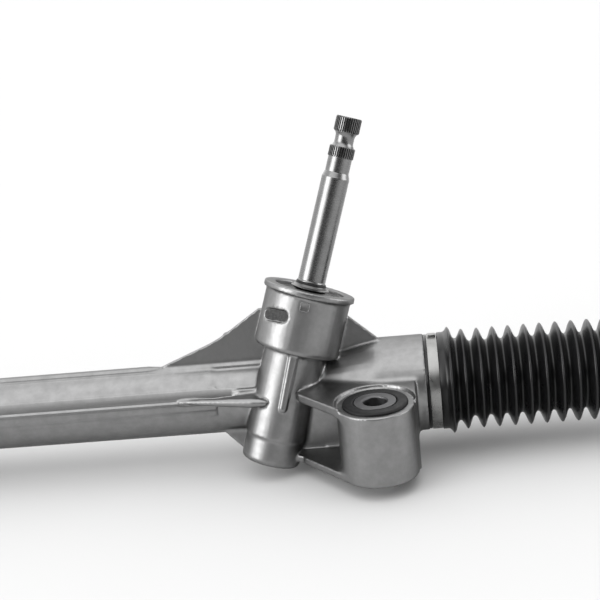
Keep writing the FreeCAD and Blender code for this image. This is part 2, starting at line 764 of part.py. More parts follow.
for side, place in BUSHES.items():
    rubber = body(side + "_bush_rubber", place)
    profile = [("sleeve_radius", "-sleeve_half + flange_thick"),
               ("sleeve_flange + fine_edge", "-sleeve_half + flange_thick"),
               ("sleeve_flange + fine_edge", "-sleeve_half"),
               ("rubber_flange", "-sleeve_half", "fine_edge"),
               ("rubber_flange", "-boss_half"),
               ("rubber_radius", "-boss_half"),
               ("rubber_radius", "boss_half"),
               ("rubber_flange", "boss_half"),
               ("rubber_flange", "sleeve_half", "fine_edge"),
               ("sleeve_flange + fine_edge", "sleeve_half"),
               ("sleeve_flange + fine_edge", "sleeve_half - flange_thick"),
               ("sleeve_radius", "sleeve_half - flange_thick")]
    feature(rubber, "Revolution", outline(rubber, side + "_rubber_profile", profile, UPRIGHT), axis="V_Axis")
    sleeve = body(side + "_bush_sleeve", place)
    profile = [("sleeve_bore + sleeve_break", "-sleeve_half"),
               ("sleeve_flange", "-sleeve_half"),
               ("sleeve_flange", "-sleeve_half + flange_thick"),
               ("sleeve_radius", "-sleeve_half + flange_thick"),
               ("sleeve_radius", "sleeve_half - flange_thick"),
               ("sleeve_flange", "sleeve_half - flange_thick"),
               ("sleeve_flange", "sleeve_half"),
               ("sleeve_bore + sleeve_break", "sleeve_half"),
               ("sleeve_bore", "sleeve_half - sleeve_break"),
               ("sleeve_bore", "-sleeve_half + sleeve_break")]
    feature(sleeve, "Revolution", outline(sleeve, side + "_sleeve_profile", profile, UPRIGHT), axis="V_Axis")


def ring_body(label, place, inner, outer, low, high, at=UPRIGHT, axis="V_Axis", **more):
    """A plain ring turned about the piece's own axis."""
    ring = body(label, place)
    profile = [(inner, low), (outer, low), (outer, high), (inner, high)]
    if axis == "H_Axis":
        profile = [(y, x) for x, y in profile]
    feature(ring, "Revolution", outline(ring, label + "_profile", profile, at), axis=axis, **more)
    return ring


# Rack bar, with its teeth towards the pinion
rack = body("rack_bar", frame(RACK_LINE, LEANING))
bar = [("-bush_span - socket_face", "0"),
       ("-bush_span - socket_face", "rack_radius - rack_chamfer"),
       ("-bush_span - socket_face + rack_chamfer", "rack_radius"),
       ("socket_face - rack_chamfer", "rack_radius"),
       ("socket_face", "rack_radius - rack_chamfer"),
       ("socket_face", "0")]
feature(rack, "Revolution", outline(rack, "bar_profile", bar), axis="H_Axis")
tapped = [("socket_face - stud_length - 2 * past", "0"),
          ("socket_face - stud_length - past", "stud_radius"),
          ("socket_face + past", "stud_radius"),
          ("socket_face + past", "0")]
feature(rack, "Groove", outline(rack, "right_tapping", tapped), axis="H_Axis")
mirrored = frame(shift("-bush_span"), turn("z", "180"))
feature(rack, "Groove", outline(rack, "left_tapping", tapped, mirrored), axis="H_Axis")
rack_pitch = "pi * module_mm"
toothed = "(rack_gap_count * %s / 2 + past)" % rack_pitch
flat = [("-pinion_left - " + toothed, "-rack_radius - past"),
        ("-pinion_left + " + toothed, "-rack_radius - past"),
        ("-pinion_left + " + toothed, "-rack_tip_plane"),
        ("-pinion_left - " + toothed, "-rack_tip_plane")]
feature(rack, "Pocket", outline(rack, "tooth_flat", flat), both_ways=True, length="3 * rack_radius")
mesh_line = "(centre_distance - module_mm * (pinion_teeth / (2 * cos(tilt)) + profile_shift))"
half_gap = "(%s / 4 + backlash / 2" % rack_pitch
tip_half = half_gap + " + (rack_tip_plane - %s) * tan(pressure_angle))" % mesh_line
root_half = half_gap + " - (%s - rack_root_plane) * tan(pressure_angle))" % mesh_line
mouth_half = half_gap + " + (rack_tip_plane + past - %s) * tan(pressure_angle))" % mesh_line
first_gap = "-pinion_left - (rack_gap_count - 1) / 2 * %s - %s / 2" % (rack_pitch, rack_pitch)
gap = [(first_gap + " - " + mouth_half, "-rack_tip_plane - past"),
       (first_gap + " - " + root_half, "-rack_root_plane"),
       (first_gap + " + " + root_half, "-rack_root_plane"),
       (first_gap + " + " + mouth_half, "-rack_tip_plane - past")]
gap_sketch = outline(rack, "tooth_gap", gap)
cut = feature(rack, "Pocket", gap_sketch, both_ways=True, length="3 * rack_radius")
row = rack.newObject("PartDesign::LinearPattern", "tooth_row")
row.Originals = [cut]
row.Direction = (gap_sketch, ["H_Axis"])
row.setExpression("Length", formula("rack_gap_count * " + rack_pitch))
row.setExpression("Occurrences", formula("rack_gap_count + 1"))
rack.Tip = row
doc.recompute()


def involute_half(radius, base, at_pitch, pressure):
    """Half the angle of a tooth at a radius."""
    roll = math.acos(min(1.0, base / radius))
    return at_pitch + math.tan(pressure) - pressure - (math.tan(roll) - roll)


def tooth_section(height):
    """The whole toothed outline of the pinion at one height, turned by its helix."""
    tilt = math.radians(value("tilt"))
    pitch = value("module_mm * pinion_teeth / (2 * cos(tilt))")
    normal_pressure = math.radians(value("pressure_angle"))
    pressure = math.atan(math.tan(normal_pressure) / math.cos(tilt))
    base = pitch * math.cos(pressure)
    shift_mm = 2 * value("profile_shift") * math.tan(normal_pressure)
    at_pitch = value("module_mm") * (math.pi / 2 + shift_mm) / math.cos(tilt) / (2 * pitch)
    teeth = int(value("pinion_teeth"))
    tip, root = value("pinion_tip"), value("pinion_root")
    twist = math.tan(tilt) / pitch * height
    radii = [base + (tip - base) * part for part in (0.0, 0.06, 0.25, 0.55, 1.0)]

    def point(radius, angle):
        turned = angle + twist + math.pi / 2
        return FreeCAD.Vector(radius * math.cos(turned), radius * math.sin(turned), height)

    edges = []
    for tooth in range(teeth):
        centre = 2 * math.pi * tooth / teeth
        halves = [involute_half(r, base, at_pitch, pressure) for r in radii]
        rising = [point(r, centre - half) for r, half in zip(radii, halves)]
        falling = [point(r, centre + half) for r, half in zip(reversed(radii), reversed(halves))]
        foot = halves[0] + 0.02
        edges.append(Part.makeLine(point(root, centre - foot), rising[0]))
        flank = Part.BSplineCurve()
        flank.interpolate(rising)
        edges.append(flank.toShape())
        edges.append(Part.Arc(rising[-1], point(tip, centre), falling[0]).toShape())
        flank = Part.BSplineCurve()
        flank.interpolate(falling)
        edges.append(flank.toShape())
        edges.append(Part.makeLine(falling[-1], point(root, centre + foot)))
        next_foot = centre + 2 * math.pi / teeth - foot
        middle = (centre + foot + next_foot) / 2
        edges.append(Part.Arc(point(root, centre + foot), point(root, middle),
                              point(root, next_foot)).toShape())
    return Part.Wire(edges)


# Pinion shaft: the turned shaft with its serrations, and the helical teeth
shaft = doc.addObject("PartDesign::Body", "turned_shaft")
profile = [("0", "bush_low - edge"),
           ("journal_radius - edge", "bush_low - edge"),
           ("journal_radius", "bush_low"),
           ("journal_radius", "-face_half - runout"),
           ("core_radius", "-face_half - runout"),
           ("core_radius", "face_half + edge"),
           ("shank_radius", "face_half + 2 * runout"),
           ("shank_radius", "bearing_low - 2 * runout"),
           ("shoulder_radius", "bearing_low - runout"),
           ("shoulder_radius", "bearing_low"),
           ("seat_radius", "bearing_low"),
           ("seat_radius", "shaft_low"),
           ("shaft_radius", "shaft_low"),
           ("shaft_radius", "shaft_step"),
           ("pilot_radius", "shaft_step + step_slope"),
           ("pilot_radius", "spline_low"),
           ("lower_spline_radius", "spline_low + fine_edge"),
           ("lower_spline_radius", "spline_neck_low"),
           ("neck_radius", "spline_neck_low + neck_slope", "neck_slope"),
           ("neck_radius", "spline_neck_high - neck_slope", "neck_slope"),
           ("spline_radius", "spline_neck_high"),
           ("spline_radius", "shaft_top - edge"),
           ("spline_radius - edge", "shaft_top"),
           ("0", "shaft_top")]
feature(shaft, "Revolution", outline(shaft, "shaft_profile", profile, UPRIGHT), axis="V_Axis")
notch = [("spline_root", "0"),
         ("spline_radius + fine_edge", "-notch_half"),
         ("spline_radius + fine_edge", "notch_half")]
notch_sketch = outline(shaft, "serration", notch, shift(z="shaft_top + past"))
groove = feature(shaft, "Pocket", notch_sketch, length="shaft_top + past - spline_low")
around(shaft, "serrations", (notch_sketch, ["N_Axis"]), groove, "spline_teeth")
teeth = doc.addObject("Part::Feature", "pinion_teeth_solid")
steps = int(value("tooth_steps"))
heights = [value("face_half") * (2 * step / steps - 1) for step in range(steps + 1)]
teeth.Shape = Part.makeLoft([tooth_section(height) for height in heights], True, False)
pinion = doc.addObject("Part::Fuse", "pinion_shaft")
pinion.Base = shaft
pinion.Tool = teeth
node(pinion, "pinion_shaft", TOWER)

# Upper bearing: two races, balls and cage
bearing_top = "bearing_low + bearing_width"
track = [("ball_pitch", "bearing_low + bearing_width / 2", "ball_radius + groove_gap")]
outer_race = ring_body("bearing_outer_race", TOWER, "ball_pitch + race_edge", "bearing_radius",
                       "bearing_low", bearing_top)
feature(outer_race, "Groove", rings(outer_race, "outer_track", track, UPRIGHT), axis="V_Axis")
inner_race = ring_body("bearing_inner_race", TOWER, "seat_radius", "ball_pitch - race_edge",
                       "bearing_low", bearing_top)
feature(inner_race, "Groove", rings(inner_race, "inner_track", track, UPRIGHT), axis="V_Axis")
cage = ring_body("bearing_cage", TOWER, "ball_pitch - cage_thick / 2", "ball_pitch + cage_thick / 2",
                 "bearing_low + cage_inset", bearing_top + " - cage_inset")
bearing_middle = "bearing_low + bearing_width / 2"
hole_at = frame(shift("ball_pitch + ball_radius"), turn("z", "90"), UPRIGHT)
hole = rings(cage, "cage_hole", [("0", bearing_middle, "ball_radius + cage_gap")], hole_at)
pocket = feature(cage, "Pocket", hole, length="2 * ball_radius")
upright_axis = [item for item in cage.Origin.OriginFeatures if item.Role == "Z_Axis"][0]
around(cage, "cage_holes", (upright_axis, [""]), pocket, "ball_count")
ball_at = shift("ball_pitch", "0", bearing_middle)
spheres = []
for index in range(int(value("ball_count"))):
    sphere = doc.addObject("Part::Sphere", "bearing_ball_%d" % index)
    sphere.setExpression("Radius", formula("ball_radius"))
    sphere.setExpression("Placement", formula(frame(turn("z", "360 / ball_count * %d" % index), ball_at)))
    spheres.append(sphere)
balls = doc.addObject("Part::Compound", "bearing_balls")
balls.Links = spheres
node(balls, "bearing_balls", TOWER)

clip_outside = "bearing_radius + clip_groove - clip_gap"
ring_body("bearing_circlip", TOWER, clip_outside + " - clip_width", clip_outside,
          bearing_top + " + 2 * clip_gap", bearing_top + " + 2 * clip_gap + clip_thick", angle="clip_angle")
seal = body("pinion_seal", TOWER)
profile = [("seat_radius + running_gap", "seal_low + edge"),
           ("seat_radius + seal_lip", "seal_low + edge"),
           ("seat_radius + seal_lip + edge", "tower_top - 2 * seal_skin"),
           ("seal_radius - seal_skin", "tower_top - 2 * seal_skin"),
           ("seal_radius - seal_skin", "seal_low"),
           ("seal_radius", "seal_low"),
           ("seal_radius", "tower_top - edge"),
           ("seal_radius - edge", "tower_top - fine_edge"),
           ("hub_radius + hub_gap", "tower_top - fine_edge"),
           ("seat_radius + running_gap", "tower_top - fine_edge - seal_skin")]
feature(seal, "Revolution", outline(seal, "seal_profile", profile, UPRIGHT), axis="V_Axis")
hub = body("seal_hub_ring", TOWER)
profile = [("seat_radius", "tower_top - seal_skin + hub_gap"),
           ("seat_radius + fine_edge", "tower_top - seal_skin + hub_gap"),
           ("hub_radius", "tower_top"),
           ("hub_radius", "tower_top + fine_edge"),
           ("hub_neck", "tower_top + hub_high / 2", "edge"),
           ("hub_neck", "tower_top + hub_high"),
           ("seat_radius", "tower_top + hub_high")]
feature(hub, "Revolution", outline(hub, "hub_profile", profile, UPRIGHT), axis="V_Axis")
ring_body("lower_pinion_bush", TOWER, "journal_radius + running_gap", "bush_radius",
          "bush_low", "bush_high")
cap = body("pinion_end_cap", TOWER)
cap_bore = "core_plug_radius - core_plug_wall"
profile = [("0", "core_plug_high - core_plug_wall"),
           (cap_bore, "core_plug_high - core_plug_wall"),
           (cap_bore, "core_plug_low"),
           ("core_plug_radius", "core_plug_low"),
           ("core_plug_radius", "core_plug_high", "edge"),
           ("0", "core_plug_high")]
feature(cap, "Revolution", outline(cap, "cap_profile", profile, UPRIGHT), axis="V_Axis")

# Yoke, its liner, seal ring, spring, plug and lock nut
YOKE = frame(RACK_LINE, YOKE_FOOT)
yoke = body("rack_yoke", YOKE)
yoke_wall = "yoke_radius - running_gap"
groove_low, groove_high = "yoke_back - ring_inset", "yoke_back - ring_inset + ring_groove"
profile = [("0", "yoke_front"),
           (yoke_wall, "yoke_front"),
           (yoke_wall, groove_low),
           ("yoke_radius - 2 * ring_section", groove_low),
           ("yoke_radius - 2 * ring_section", groove_high),
           (yoke_wall, groove_high),
           (yoke_wall, "yoke_back"),
           ("spring_pocket", "yoke_back"),
           ("spring_pocket", "spring_seat"),
           ("0", "spring_seat")]
feature(yoke, "Revolution", outline(yoke, "yoke_profile", profile), axis="V_Axis")
saddle_at = turn("y", "90")
saddle = [("0", "0", "rack_radius + running_gap + liner_thick")]
feature(yoke, "Pocket", rings(yoke, "saddle", saddle, saddle_at), both_ways=True,
        length="3 * yoke_radius")
liner_start = frame(turn("x", "-liner_angle / 2"))
ring_body("yoke_liner", YOKE, "rack_radius + running_gap", "rack_radius + running_gap + liner_thick",
          "-liner_half", "liner_half", liner_start, "H_Axis", angle="liner_angle")
oring = body("yoke_o_ring", YOKE)
section = [("yoke_radius - ring_section", "(%s + %s) / 2" % (groove_low, groove_high), "ring_section")]
feature(oring, "Revolution", rings(oring, "o_ring_section", section), axis="V_Axis")
plug = body("yoke_adjuster_plug", YOKE)
plug_face = "yoke_back + plug_gap"
plug_pocket = plug_face + " + plug_recess"
profile = [("0", plug_pocket),
           ("spring_pocket + fine_edge", plug_pocket),
           ("spring_pocket + fine_edge", plug_face),
           ("plug_radius - edge", plug_face),
           ("plug_radius", plug_face + " + edge"),
           ("plug_radius", "plug_end - edge"),
           ("plug_radius - edge", "plug_end"),
           ("0", "plug_end")]
feature(plug, "Revolution", outline(plug, "plug_profile", profile), axis="V_Axis")
hex_at = frame(shift(y="plug_end + past"), turn("x", "-90"))
feature(plug, "Pocket", outline(plug, "plug_hex", hexagon("plug_hex"), hex_at),
        length="hex_depth + past")
locknut = body("yoke_lock_nut", YOKE)
nut_at = frame(shift(y="yoke_boss_end"), turn("x", "-90"))
feature(locknut, "Pad", outline(locknut, "locknut_hex", hexagon("locknut_hex"), nut_at),
        length="locknut_thick")
hole = rings(locknut, "locknut_hole", [("0", "0", "plug_radius")], nut_at)
feature(locknut, "Pocket", hole, both_ways=True, length="4 * locknut_thick")
spring = doc.addObject("Part::Feature", "yoke_spring")
coil_length = value(plug_pocket + " - spring_seat - 2 * spring_wire")
coil_radius = value("spring_pocket - spring_wire - spring_gap")
helix = Part.makeHelix(coil_length / value("spring_turns"), coil_length, coil_radius)
wire_circle = Part.makeCircle(value("spring_wire"), FreeCAD.Vector(coil_radius, 0, 0),
                              FreeCAD.Vector(0, 1, 0))
spring.Shape = Part.Wire(helix).makePipeShell([Part.Wire(wire_circle)], True, True)
node(spring, "yoke_spring", frame(YOKE, shift(y="spring_seat + spring_wire"), turn("x", "-90")))

# Far-end rack bushing and its retaining ring
far_stop = "-bush_span - socket_stop"
ring_body("rack_bushing", RACK_LINE, "rack_radius + running_gap", "bushing_radius",
          far_stop + " + retainer_thick", far_stop + " + retainer_thick + bushing_length",
          turn("z", "0"), "H_Axis")
ring_body("bushing_retainer", RACK_LINE, "rack_radius + edge", "bushing_radius",
          far_stop, far_stop + " + retainer_thick", turn("z", "0"), "H_Axis")


def boot_corners():
    """Outline of one boot: big cuff, bellows, small cuff, and the plain inner wall."""
    lip_end = "drum_shoulder + lip_width"
    seat_end = lip_end + " + clamp_width"
    cuff_end = seat_end + " + cuff_width"
    outer = [("drum_shoulder", "spigot_radius"),
             ("drum_shoulder", "lip_radius"),
             (lip_end, "lip_radius"),
             (lip_end, "clamp_seat"),
             (seat_end, "clamp_seat"),
             (seat_end, "cuff_radius"),
             (cuff_end, "cuff_radius"),
             ("first_crest_x - crest_flat / 2", "first_crest"),
             ("first_crest_x + crest_flat / 2", "first_crest")]
    valley_x = "(first_crest_x + second_crest_x) / 2"
    outer.append((valley_x + " - crest_flat / 2", "first_valley"))
    outer.append((valley_x + " + crest_flat / 2", "first_valley"))
    count = int(value("crest_count"))
    for index in range(count):
        taper = "max(0; %d + 1 - straight_crests) / (crest_count - straight_crests)" % index
        crest = "crest_radius - (crest_radius - end_crest) * " + taper
        valley = "valley_radius - (valley_radius - end_valley) * " + taper
        middle = "second_crest_x + crest_pitch * %d" % index
        outer.append((middle + " - crest_flat / 2", crest))
        outer.append((middle + " + crest_flat / 2", crest))
        if index < count - 1:
            outer.append((middle + " + crest_pitch / 2 - crest_flat / 2", valley))
            outer.append((middle + " + crest_pitch / 2 + crest_flat / 2", valley))
    last_x = "second_crest_x + crest_pitch * (crest_count - 1)"
    outer.append((last_x + " + crest_pitch / 2", "small_cuff_radius + boot_wall"))
    outer.append(("small_cuff_x", "small_cuff_radius"))
    outer.append(("small_cuff_x + small_cuff_length", "small_cuff_radius"))
    taper_x = "second_crest_x + crest_pitch * (straight_crests - 1)"
    inner = [("small_cuff_x + small_cuff_length", "rod_radius + rod_clearance"),
             ("small_cuff_x", "rod_radius + rod_clearance"),
             (last_x, "end_valley - 2 * boot_wall"),
             (taper_x, "valley_radius - boot_wall"),
             ("second_crest_x", "valley_radius - boot_wall"),
             (cuff_end + " + boot_wall", "first_valley - boot_wall"),
             (cuff_end, "spigot_radius")]
    return outer + inner


def make_end(side, place):
    """Everything at one end of the rack: boot, clamps, socket, ball seat, tie rod and nut."""
    boot = body(side + "_boot", place)
    feature(boot, "Revolution", outline(boot, side + "_boot_profile", boot_corners()), axis="H_Axis")
    band_start = "drum_shoulder + lip_width"
    clamp = ring_body(side + "_large_clamp", place, "clamp_seat", "clamp_seat + clamp_thick",
                      band_start, band_start + " + clamp_width", turn("z", "0"), "H_Axis")
    ear_low, ear_high = "clamp_seat + clamp_thick / 4", "clamp_seat + clamp_thick + ear_high"
    ear = [(ear_low, "-ear_half"),
           (ear_high, "-ear_half + ear_slope", "ear_slope"),
           (ear_high, "ear_half - ear_slope", "ear_slope"),
           (ear_low, "ear_half")]
    ear_at = frame(shift(band_start + " + clamp_width / 2"), turn("x", "90"), turn("z", "90"),
                   turn("x", "90"))
    feature(clamp, "Pad", outline(clamp, side + "_clamp_ear", ear, ear_at), both_ways=True,
            length="ear_width")
    small_start = "small_cuff_x + (small_cuff_length - small_clamp_width) / 2"
    ring_body(side + "_small_clamp", place, "small_cuff_radius + rod_clearance",
              "small_cuff_radius + rod_clearance + clamp_thick", small_start,
              small_start + " + small_clamp_width", turn("z", "0"), "H_Axis")
    socket = body(side + "_joint_socket", place)
    rim = "ball_centre + socket_rim"
    rim_end = rim + " + rim_lip"
    profile = [("socket_face - stud_length", "0"),
               ("socket_face - stud_length", "stud_radius - edge"),
               ("socket_face - stud_length + edge", "stud_radius"),
               ("socket_face", "stud_radius"),
               ("socket_face", "socket_neck"),
               ("socket_face + neck_length", "socket_neck"),
               ("socket_face + neck_length + socket_slope", "socket_radius", "rim_lip"),
               (rim + " - socket_slope", "socket_radius", "rim_lip"),
               (rim_end, "joint_ball + rim_lip"),
               (rim_end, "joint_ball"),
               (rim, "joint_ball - edge"),
               (rim, "0")]
    feature(socket, "Revolution", outline(socket, side + "_socket_profile", profile), axis="H_Axis")
    cavity = "joint_ball + seat_thick + 2 * running_gap"
    hollow = half_disc(socket, side + "_socket_cavity", "ball_centre", cavity)
    feature(socket, "Groove", hollow, axis="H_Axis")
    for hand, turned in (("upper", "0"), ("lower", "180")):
        flat = [("socket_face + flat_start", "socket_radius - flat_depth"),
                ("socket_face + flat_start + flat_length", "socket_radius - flat_depth"),
                ("socket_face + flat_start + flat_length", "socket_radius + past"),
                ("socket_face + flat_start", "socket_radius + past")]
        at = frame(turn("x", turned), UPRIGHT)
        name = side + "_socket_flat_" + hand
        feature(socket, "Pocket", outline(socket, name, flat, at), both_ways=True, length="3 * socket_radius")
    seat = body(side + "_ball_seat", place)
    seat_outside = half_disc(seat, side + "_seat_outside", "ball_centre",
                             "joint_ball + seat_thick + running_gap")
    feature(seat, "Revolution", seat_outside, axis="H_Axis")
    for hand, near, far in (("back", "ball_centre - seat_behind", "ball_centre - 2 * joint_ball"),
                            ("front", "ball_centre + seat_ahead", "ball_centre + 2 * joint_ball")):
        end_cut = [(near, "0"), (near, "2 * joint_ball"), (far, "2 * joint_ball"), (far, "0")]
        feature(seat, "Groove", outline(seat, side + "_seat_" + hand, end_cut), axis="H_Axis")
    seat_inside = half_disc(seat, side + "_seat_inside", "ball_centre", "joint_ball + running_gap")
    feature(seat, "Groove", seat_inside, axis="H_Axis")
    rod = body(side + "_tie_rod", place)
    tip = "ball_centre + rod_length"
    nut_end = tip + " - nut_from_tip + nut_thick"
    profile = [("ball_centre + joint_ball / 2", "0"),
               ("ball_centre + joint_ball / 2", "rod_neck"),
               ("ball_centre + rod_neck_length", "rod_neck", "rod_neck"),
               ("ball_centre + rod_neck_length + rod_neck", "rod_radius", "rod_neck"),
               (tip + " - thread_length", "rod_radius"),
               (tip + " - thread_length", "thread_radius"),
               (nut_end, "thread_radius"),
               (nut_end, "rod_radius"),
               (tip + " - rod_chamfer", "rod_radius"),
               (tip, "rod_radius - rod_chamfer"),
               (tip, "0")]
    feature(rod, "Revolution", outline(rod, side + "_rod_profile", profile), axis="H_Axis")
    feature(rod, "Revolution", half_disc(rod, side + "_rod_ball", "ball_centre", "joint_ball"), axis="H_Axis")
    for hand, turned in (("upper", "0"), ("lower", "180")):
        flat_near, flat_far = tip + " - rod_flat_start", tip + " - rod_flat_start + rod_flat_length"
        flat = [(flat_near, "rod_radius - rod_flat_depth"),
                (flat_far, "rod_radius - rod_flat_depth"),
                (flat_far, "rod_radius + past"),
                (flat_near, "rod_radius + past")]
        at = frame(turn("x", turned), UPRIGHT)
        name = side + "_rod_flat_" + hand
        feature(rod, "Pocket", outline(rod, name, flat, at), both_ways=True, length="4 * rod_radius")
    nut = body(side + "_jam_nut", place)
    nut_start = tip + " - nut_from_tip"
    nut_at = frame(shift(nut_start), turn("y", "90"))
    feature(nut, "Pad", outline(nut, side + "_nut_hex", hexagon("nut_hex"), nut_at), length="nut_thick")
    feature(nut, "Pocket", rings(nut, side + "_nut_hole", [("0", "0", "thread_radius")], nut_at),
            both_ways=True, length="4 * nut_thick")
    low_corner, high_corner = "nut_hex / 2 - fine_edge", "nut_hex / 2 + 3 * edge"
    for name, start, inward in (("in", nut_start, " + 2 * edge"), ("out", nut_end, " - 2 * edge")):
        corner = [(start, low_corner),
                  (start + inward, high_corner),
                  (start, high_corner)]
        feature(nut, "Groove", outline(nut, "%s_nut_chamfer_%s" % (side, name), corner), axis="H_Axis")


for side, place in ENDS.items():
    make_end(side, place)

doc.recompute()
for item in doc.Objects:
    if "Invalid" in item.State or "Error" in item.State:
        raise SystemExit("%s has failed: %s" % (item.Name, item.State))
os.makedirs("parts", exist_ok=True)
for part in nodes:
    if part.Shape.isNull() or not part.Shape.isValid():
        raise SystemExit("%s has no sound shape" % part.Label)
    part.Shape.exportStep("parts/%s.step" % part.Label)
    print("%-22s solids %d  volume %.0f mm3" % (part.Label, len(part.Shape.Solids), part.Shape.Volume))
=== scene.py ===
import math

import bmesh
import bpy
import numpy as np
from mathutils import Matrix, Vector


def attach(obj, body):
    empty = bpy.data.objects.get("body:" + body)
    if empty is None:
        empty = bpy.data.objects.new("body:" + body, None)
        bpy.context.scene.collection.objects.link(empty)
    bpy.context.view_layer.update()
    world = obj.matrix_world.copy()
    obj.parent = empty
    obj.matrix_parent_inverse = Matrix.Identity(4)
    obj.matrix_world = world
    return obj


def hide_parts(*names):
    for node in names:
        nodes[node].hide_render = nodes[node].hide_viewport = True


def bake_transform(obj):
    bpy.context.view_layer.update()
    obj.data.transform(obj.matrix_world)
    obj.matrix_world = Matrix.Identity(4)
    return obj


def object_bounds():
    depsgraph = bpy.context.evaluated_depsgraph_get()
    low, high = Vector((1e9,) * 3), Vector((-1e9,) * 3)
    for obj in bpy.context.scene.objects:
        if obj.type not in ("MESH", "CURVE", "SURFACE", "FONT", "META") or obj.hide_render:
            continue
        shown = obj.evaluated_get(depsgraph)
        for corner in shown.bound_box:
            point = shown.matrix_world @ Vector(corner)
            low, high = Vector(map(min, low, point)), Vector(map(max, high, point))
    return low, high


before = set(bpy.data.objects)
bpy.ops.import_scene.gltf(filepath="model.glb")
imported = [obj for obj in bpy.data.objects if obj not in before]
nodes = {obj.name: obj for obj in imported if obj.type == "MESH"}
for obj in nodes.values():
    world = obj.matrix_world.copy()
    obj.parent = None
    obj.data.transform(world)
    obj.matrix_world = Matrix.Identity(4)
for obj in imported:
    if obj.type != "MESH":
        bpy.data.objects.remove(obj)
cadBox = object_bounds()
mm = 0.001
print("frame loaded:", len(nodes), "nodes")

# Axes of the gear, from the middle of the bush beside the pinion
gearLine = {"rackBack": 56.0, "rackRise": 12.3, "bushSpan": 400.0, "pinionLeft": 58.0,
            "centreDistance": 16.0, "lean": 12.0, "tilt": 18.0}
rackPlace = Matrix.Translation((0, gearLine["rackBack"] * mm, gearLine["rackRise"] * mm))
leaning = rackPlace @ Matrix.Rotation(math.radians(-gearLine["lean"]), 4, "X")
toPinionLine = Matrix.Translation((-gearLine["pinionLeft"] * mm, -gearLine["centreDistance"] * mm, 0))
pinionPlace = leaning @ toPinionLine @ Matrix.Rotation(math.radians(gearLine["tilt"]), 4, "Y")
alongRack = Matrix.Rotation(math.radians(90), 4, "Y")          # a turned piece's own z becomes +X
farTurn = Matrix.Translation((-gearLine["bushSpan"] * mm, 0, 0)) @ Matrix.Rotation(math.pi, 4, "Z")
endPlace = {"right": rackPlace @ alongRack, "left": rackPlace @ farTurn @ alongRack}
bushPlace = {"right": Matrix.Identity(4), "left": Matrix.Translation((-gearLine["bushSpan"] * mm, 0, 0))}


def hexColour(code, alpha=1.0):
    code = code.lstrip("#")
    channels = [int(code[i:i + 2], 16) / 255 for i in (0, 2, 4)]
    return [c / 12.92 if c <= 0.04045 else ((c + 0.055) / 1.055) ** 2.4 for c in channels] + [alpha]


def addNode(tree, kind, settings=None, links=None):
    made = tree.nodes.new(kind)
    for name, value in (settings or {}).items():
        if isinstance(name, int) or name in made.inputs:
            made.inputs[name].default_value = value
        else:
            setattr(made, name, value)
    for name, source in (links or {}).items():
        tree.links.new(source, made.inputs[name])
    return made


def grainScale(sizeMm):
    return 1.0 / (sizeMm * mm)      # noise scale whose lumps are about that size


def newMaterial(name, shader):
    made = bpy.data.materials.new(name)
    made.use_nodes = True
    tree = made.node_tree
    tree.nodes.clear()
    surface = addNode(tree, "ShaderNodeBsdfPrincipled", shader)
    addNode(tree, "ShaderNodeOutputMaterial", None, {"Surface": surface.outputs["BSDF"]})
    place = addNode(tree, "ShaderNodeTexCoord").outputs["Object"]
    return made, tree, surface, place


def colourRamp(tree, source, stops):
    ramp = addNode(tree, "ShaderNodeValToRGB", None, {"Fac": source})
    while len(ramp.color_ramp.elements) < len(stops):
        ramp.color_ramp.elements.new(0.5)
    for element, (place, code) in zip(ramp.color_ramp.elements, stops):
        element.position = place
        element.color = hexColour(code)
    return ramp.outputs["Color"]


def rangeOf(tree, source, low, high, fromLow=0.3, fromHigh=0.7):
    return addNode(tree, "ShaderNodeMapRange", {"From Min": fromLow, "From Max": fromHigh, "To Min": low,
                                               "To Max": high}, {"Value": source}).outputs["Result"]


def castAluminium(name, look):
    made, tree, surface, place = newMaterial(name, {"Metallic": 1.0, "Specular Tint": hexColour(look["rim"])})
    mottle = addNode(tree, "ShaderNodeTexNoise", {"Scale": grainScale(look["mottleMm"]), "Detail": 4.0,
                                                  "Roughness": 0.6}, {"Vector": place}).outputs["Fac"]
    grain = addNode(tree, "ShaderNodeTexNoise", {"Scale": grainScale(look["grainMm"]), "Detail": 2.0},
                    {"Vector": place}).outputs["Fac"]
    wave = addNode(tree, "ShaderNodeTexNoise", {"Scale": grainScale(look["waveMm"]), "Detail": 1.0},
                   {"Vector": place}).outputs["Fac"]
    tree.links.new(colourRamp(tree, mottle, [(0.3, look["dark"]), (0.7, look["light"])]),
                   surface.inputs["Base Color"])
    tree.links.new(rangeOf(tree, mottle, look["roughHigh"], look["roughLow"]), surface.inputs["Roughness"])
    fine = addNode(tree, "ShaderNodeBump", {"Strength": 0.6, "Distance": look["grainDepthMm"] * mm},
                   {"Height": grain})
    broad = addNode(tree, "ShaderNodeBump", {"Strength": 1.0, "Distance": look["waveDepthMm"] * mm},
                    {"Height": wave, "Normal": fine.outputs["Normal"]})
    tree.links.new(broad.outputs["Normal"], surface.inputs["Normal"])
    return made


# Turned metal has fine rings round its own axis, drawn coarser than the real feed marks so that they show.
# Across the piece the pattern is wide, so that a ring stays even.
ringAcrossMm = 1000 / 60


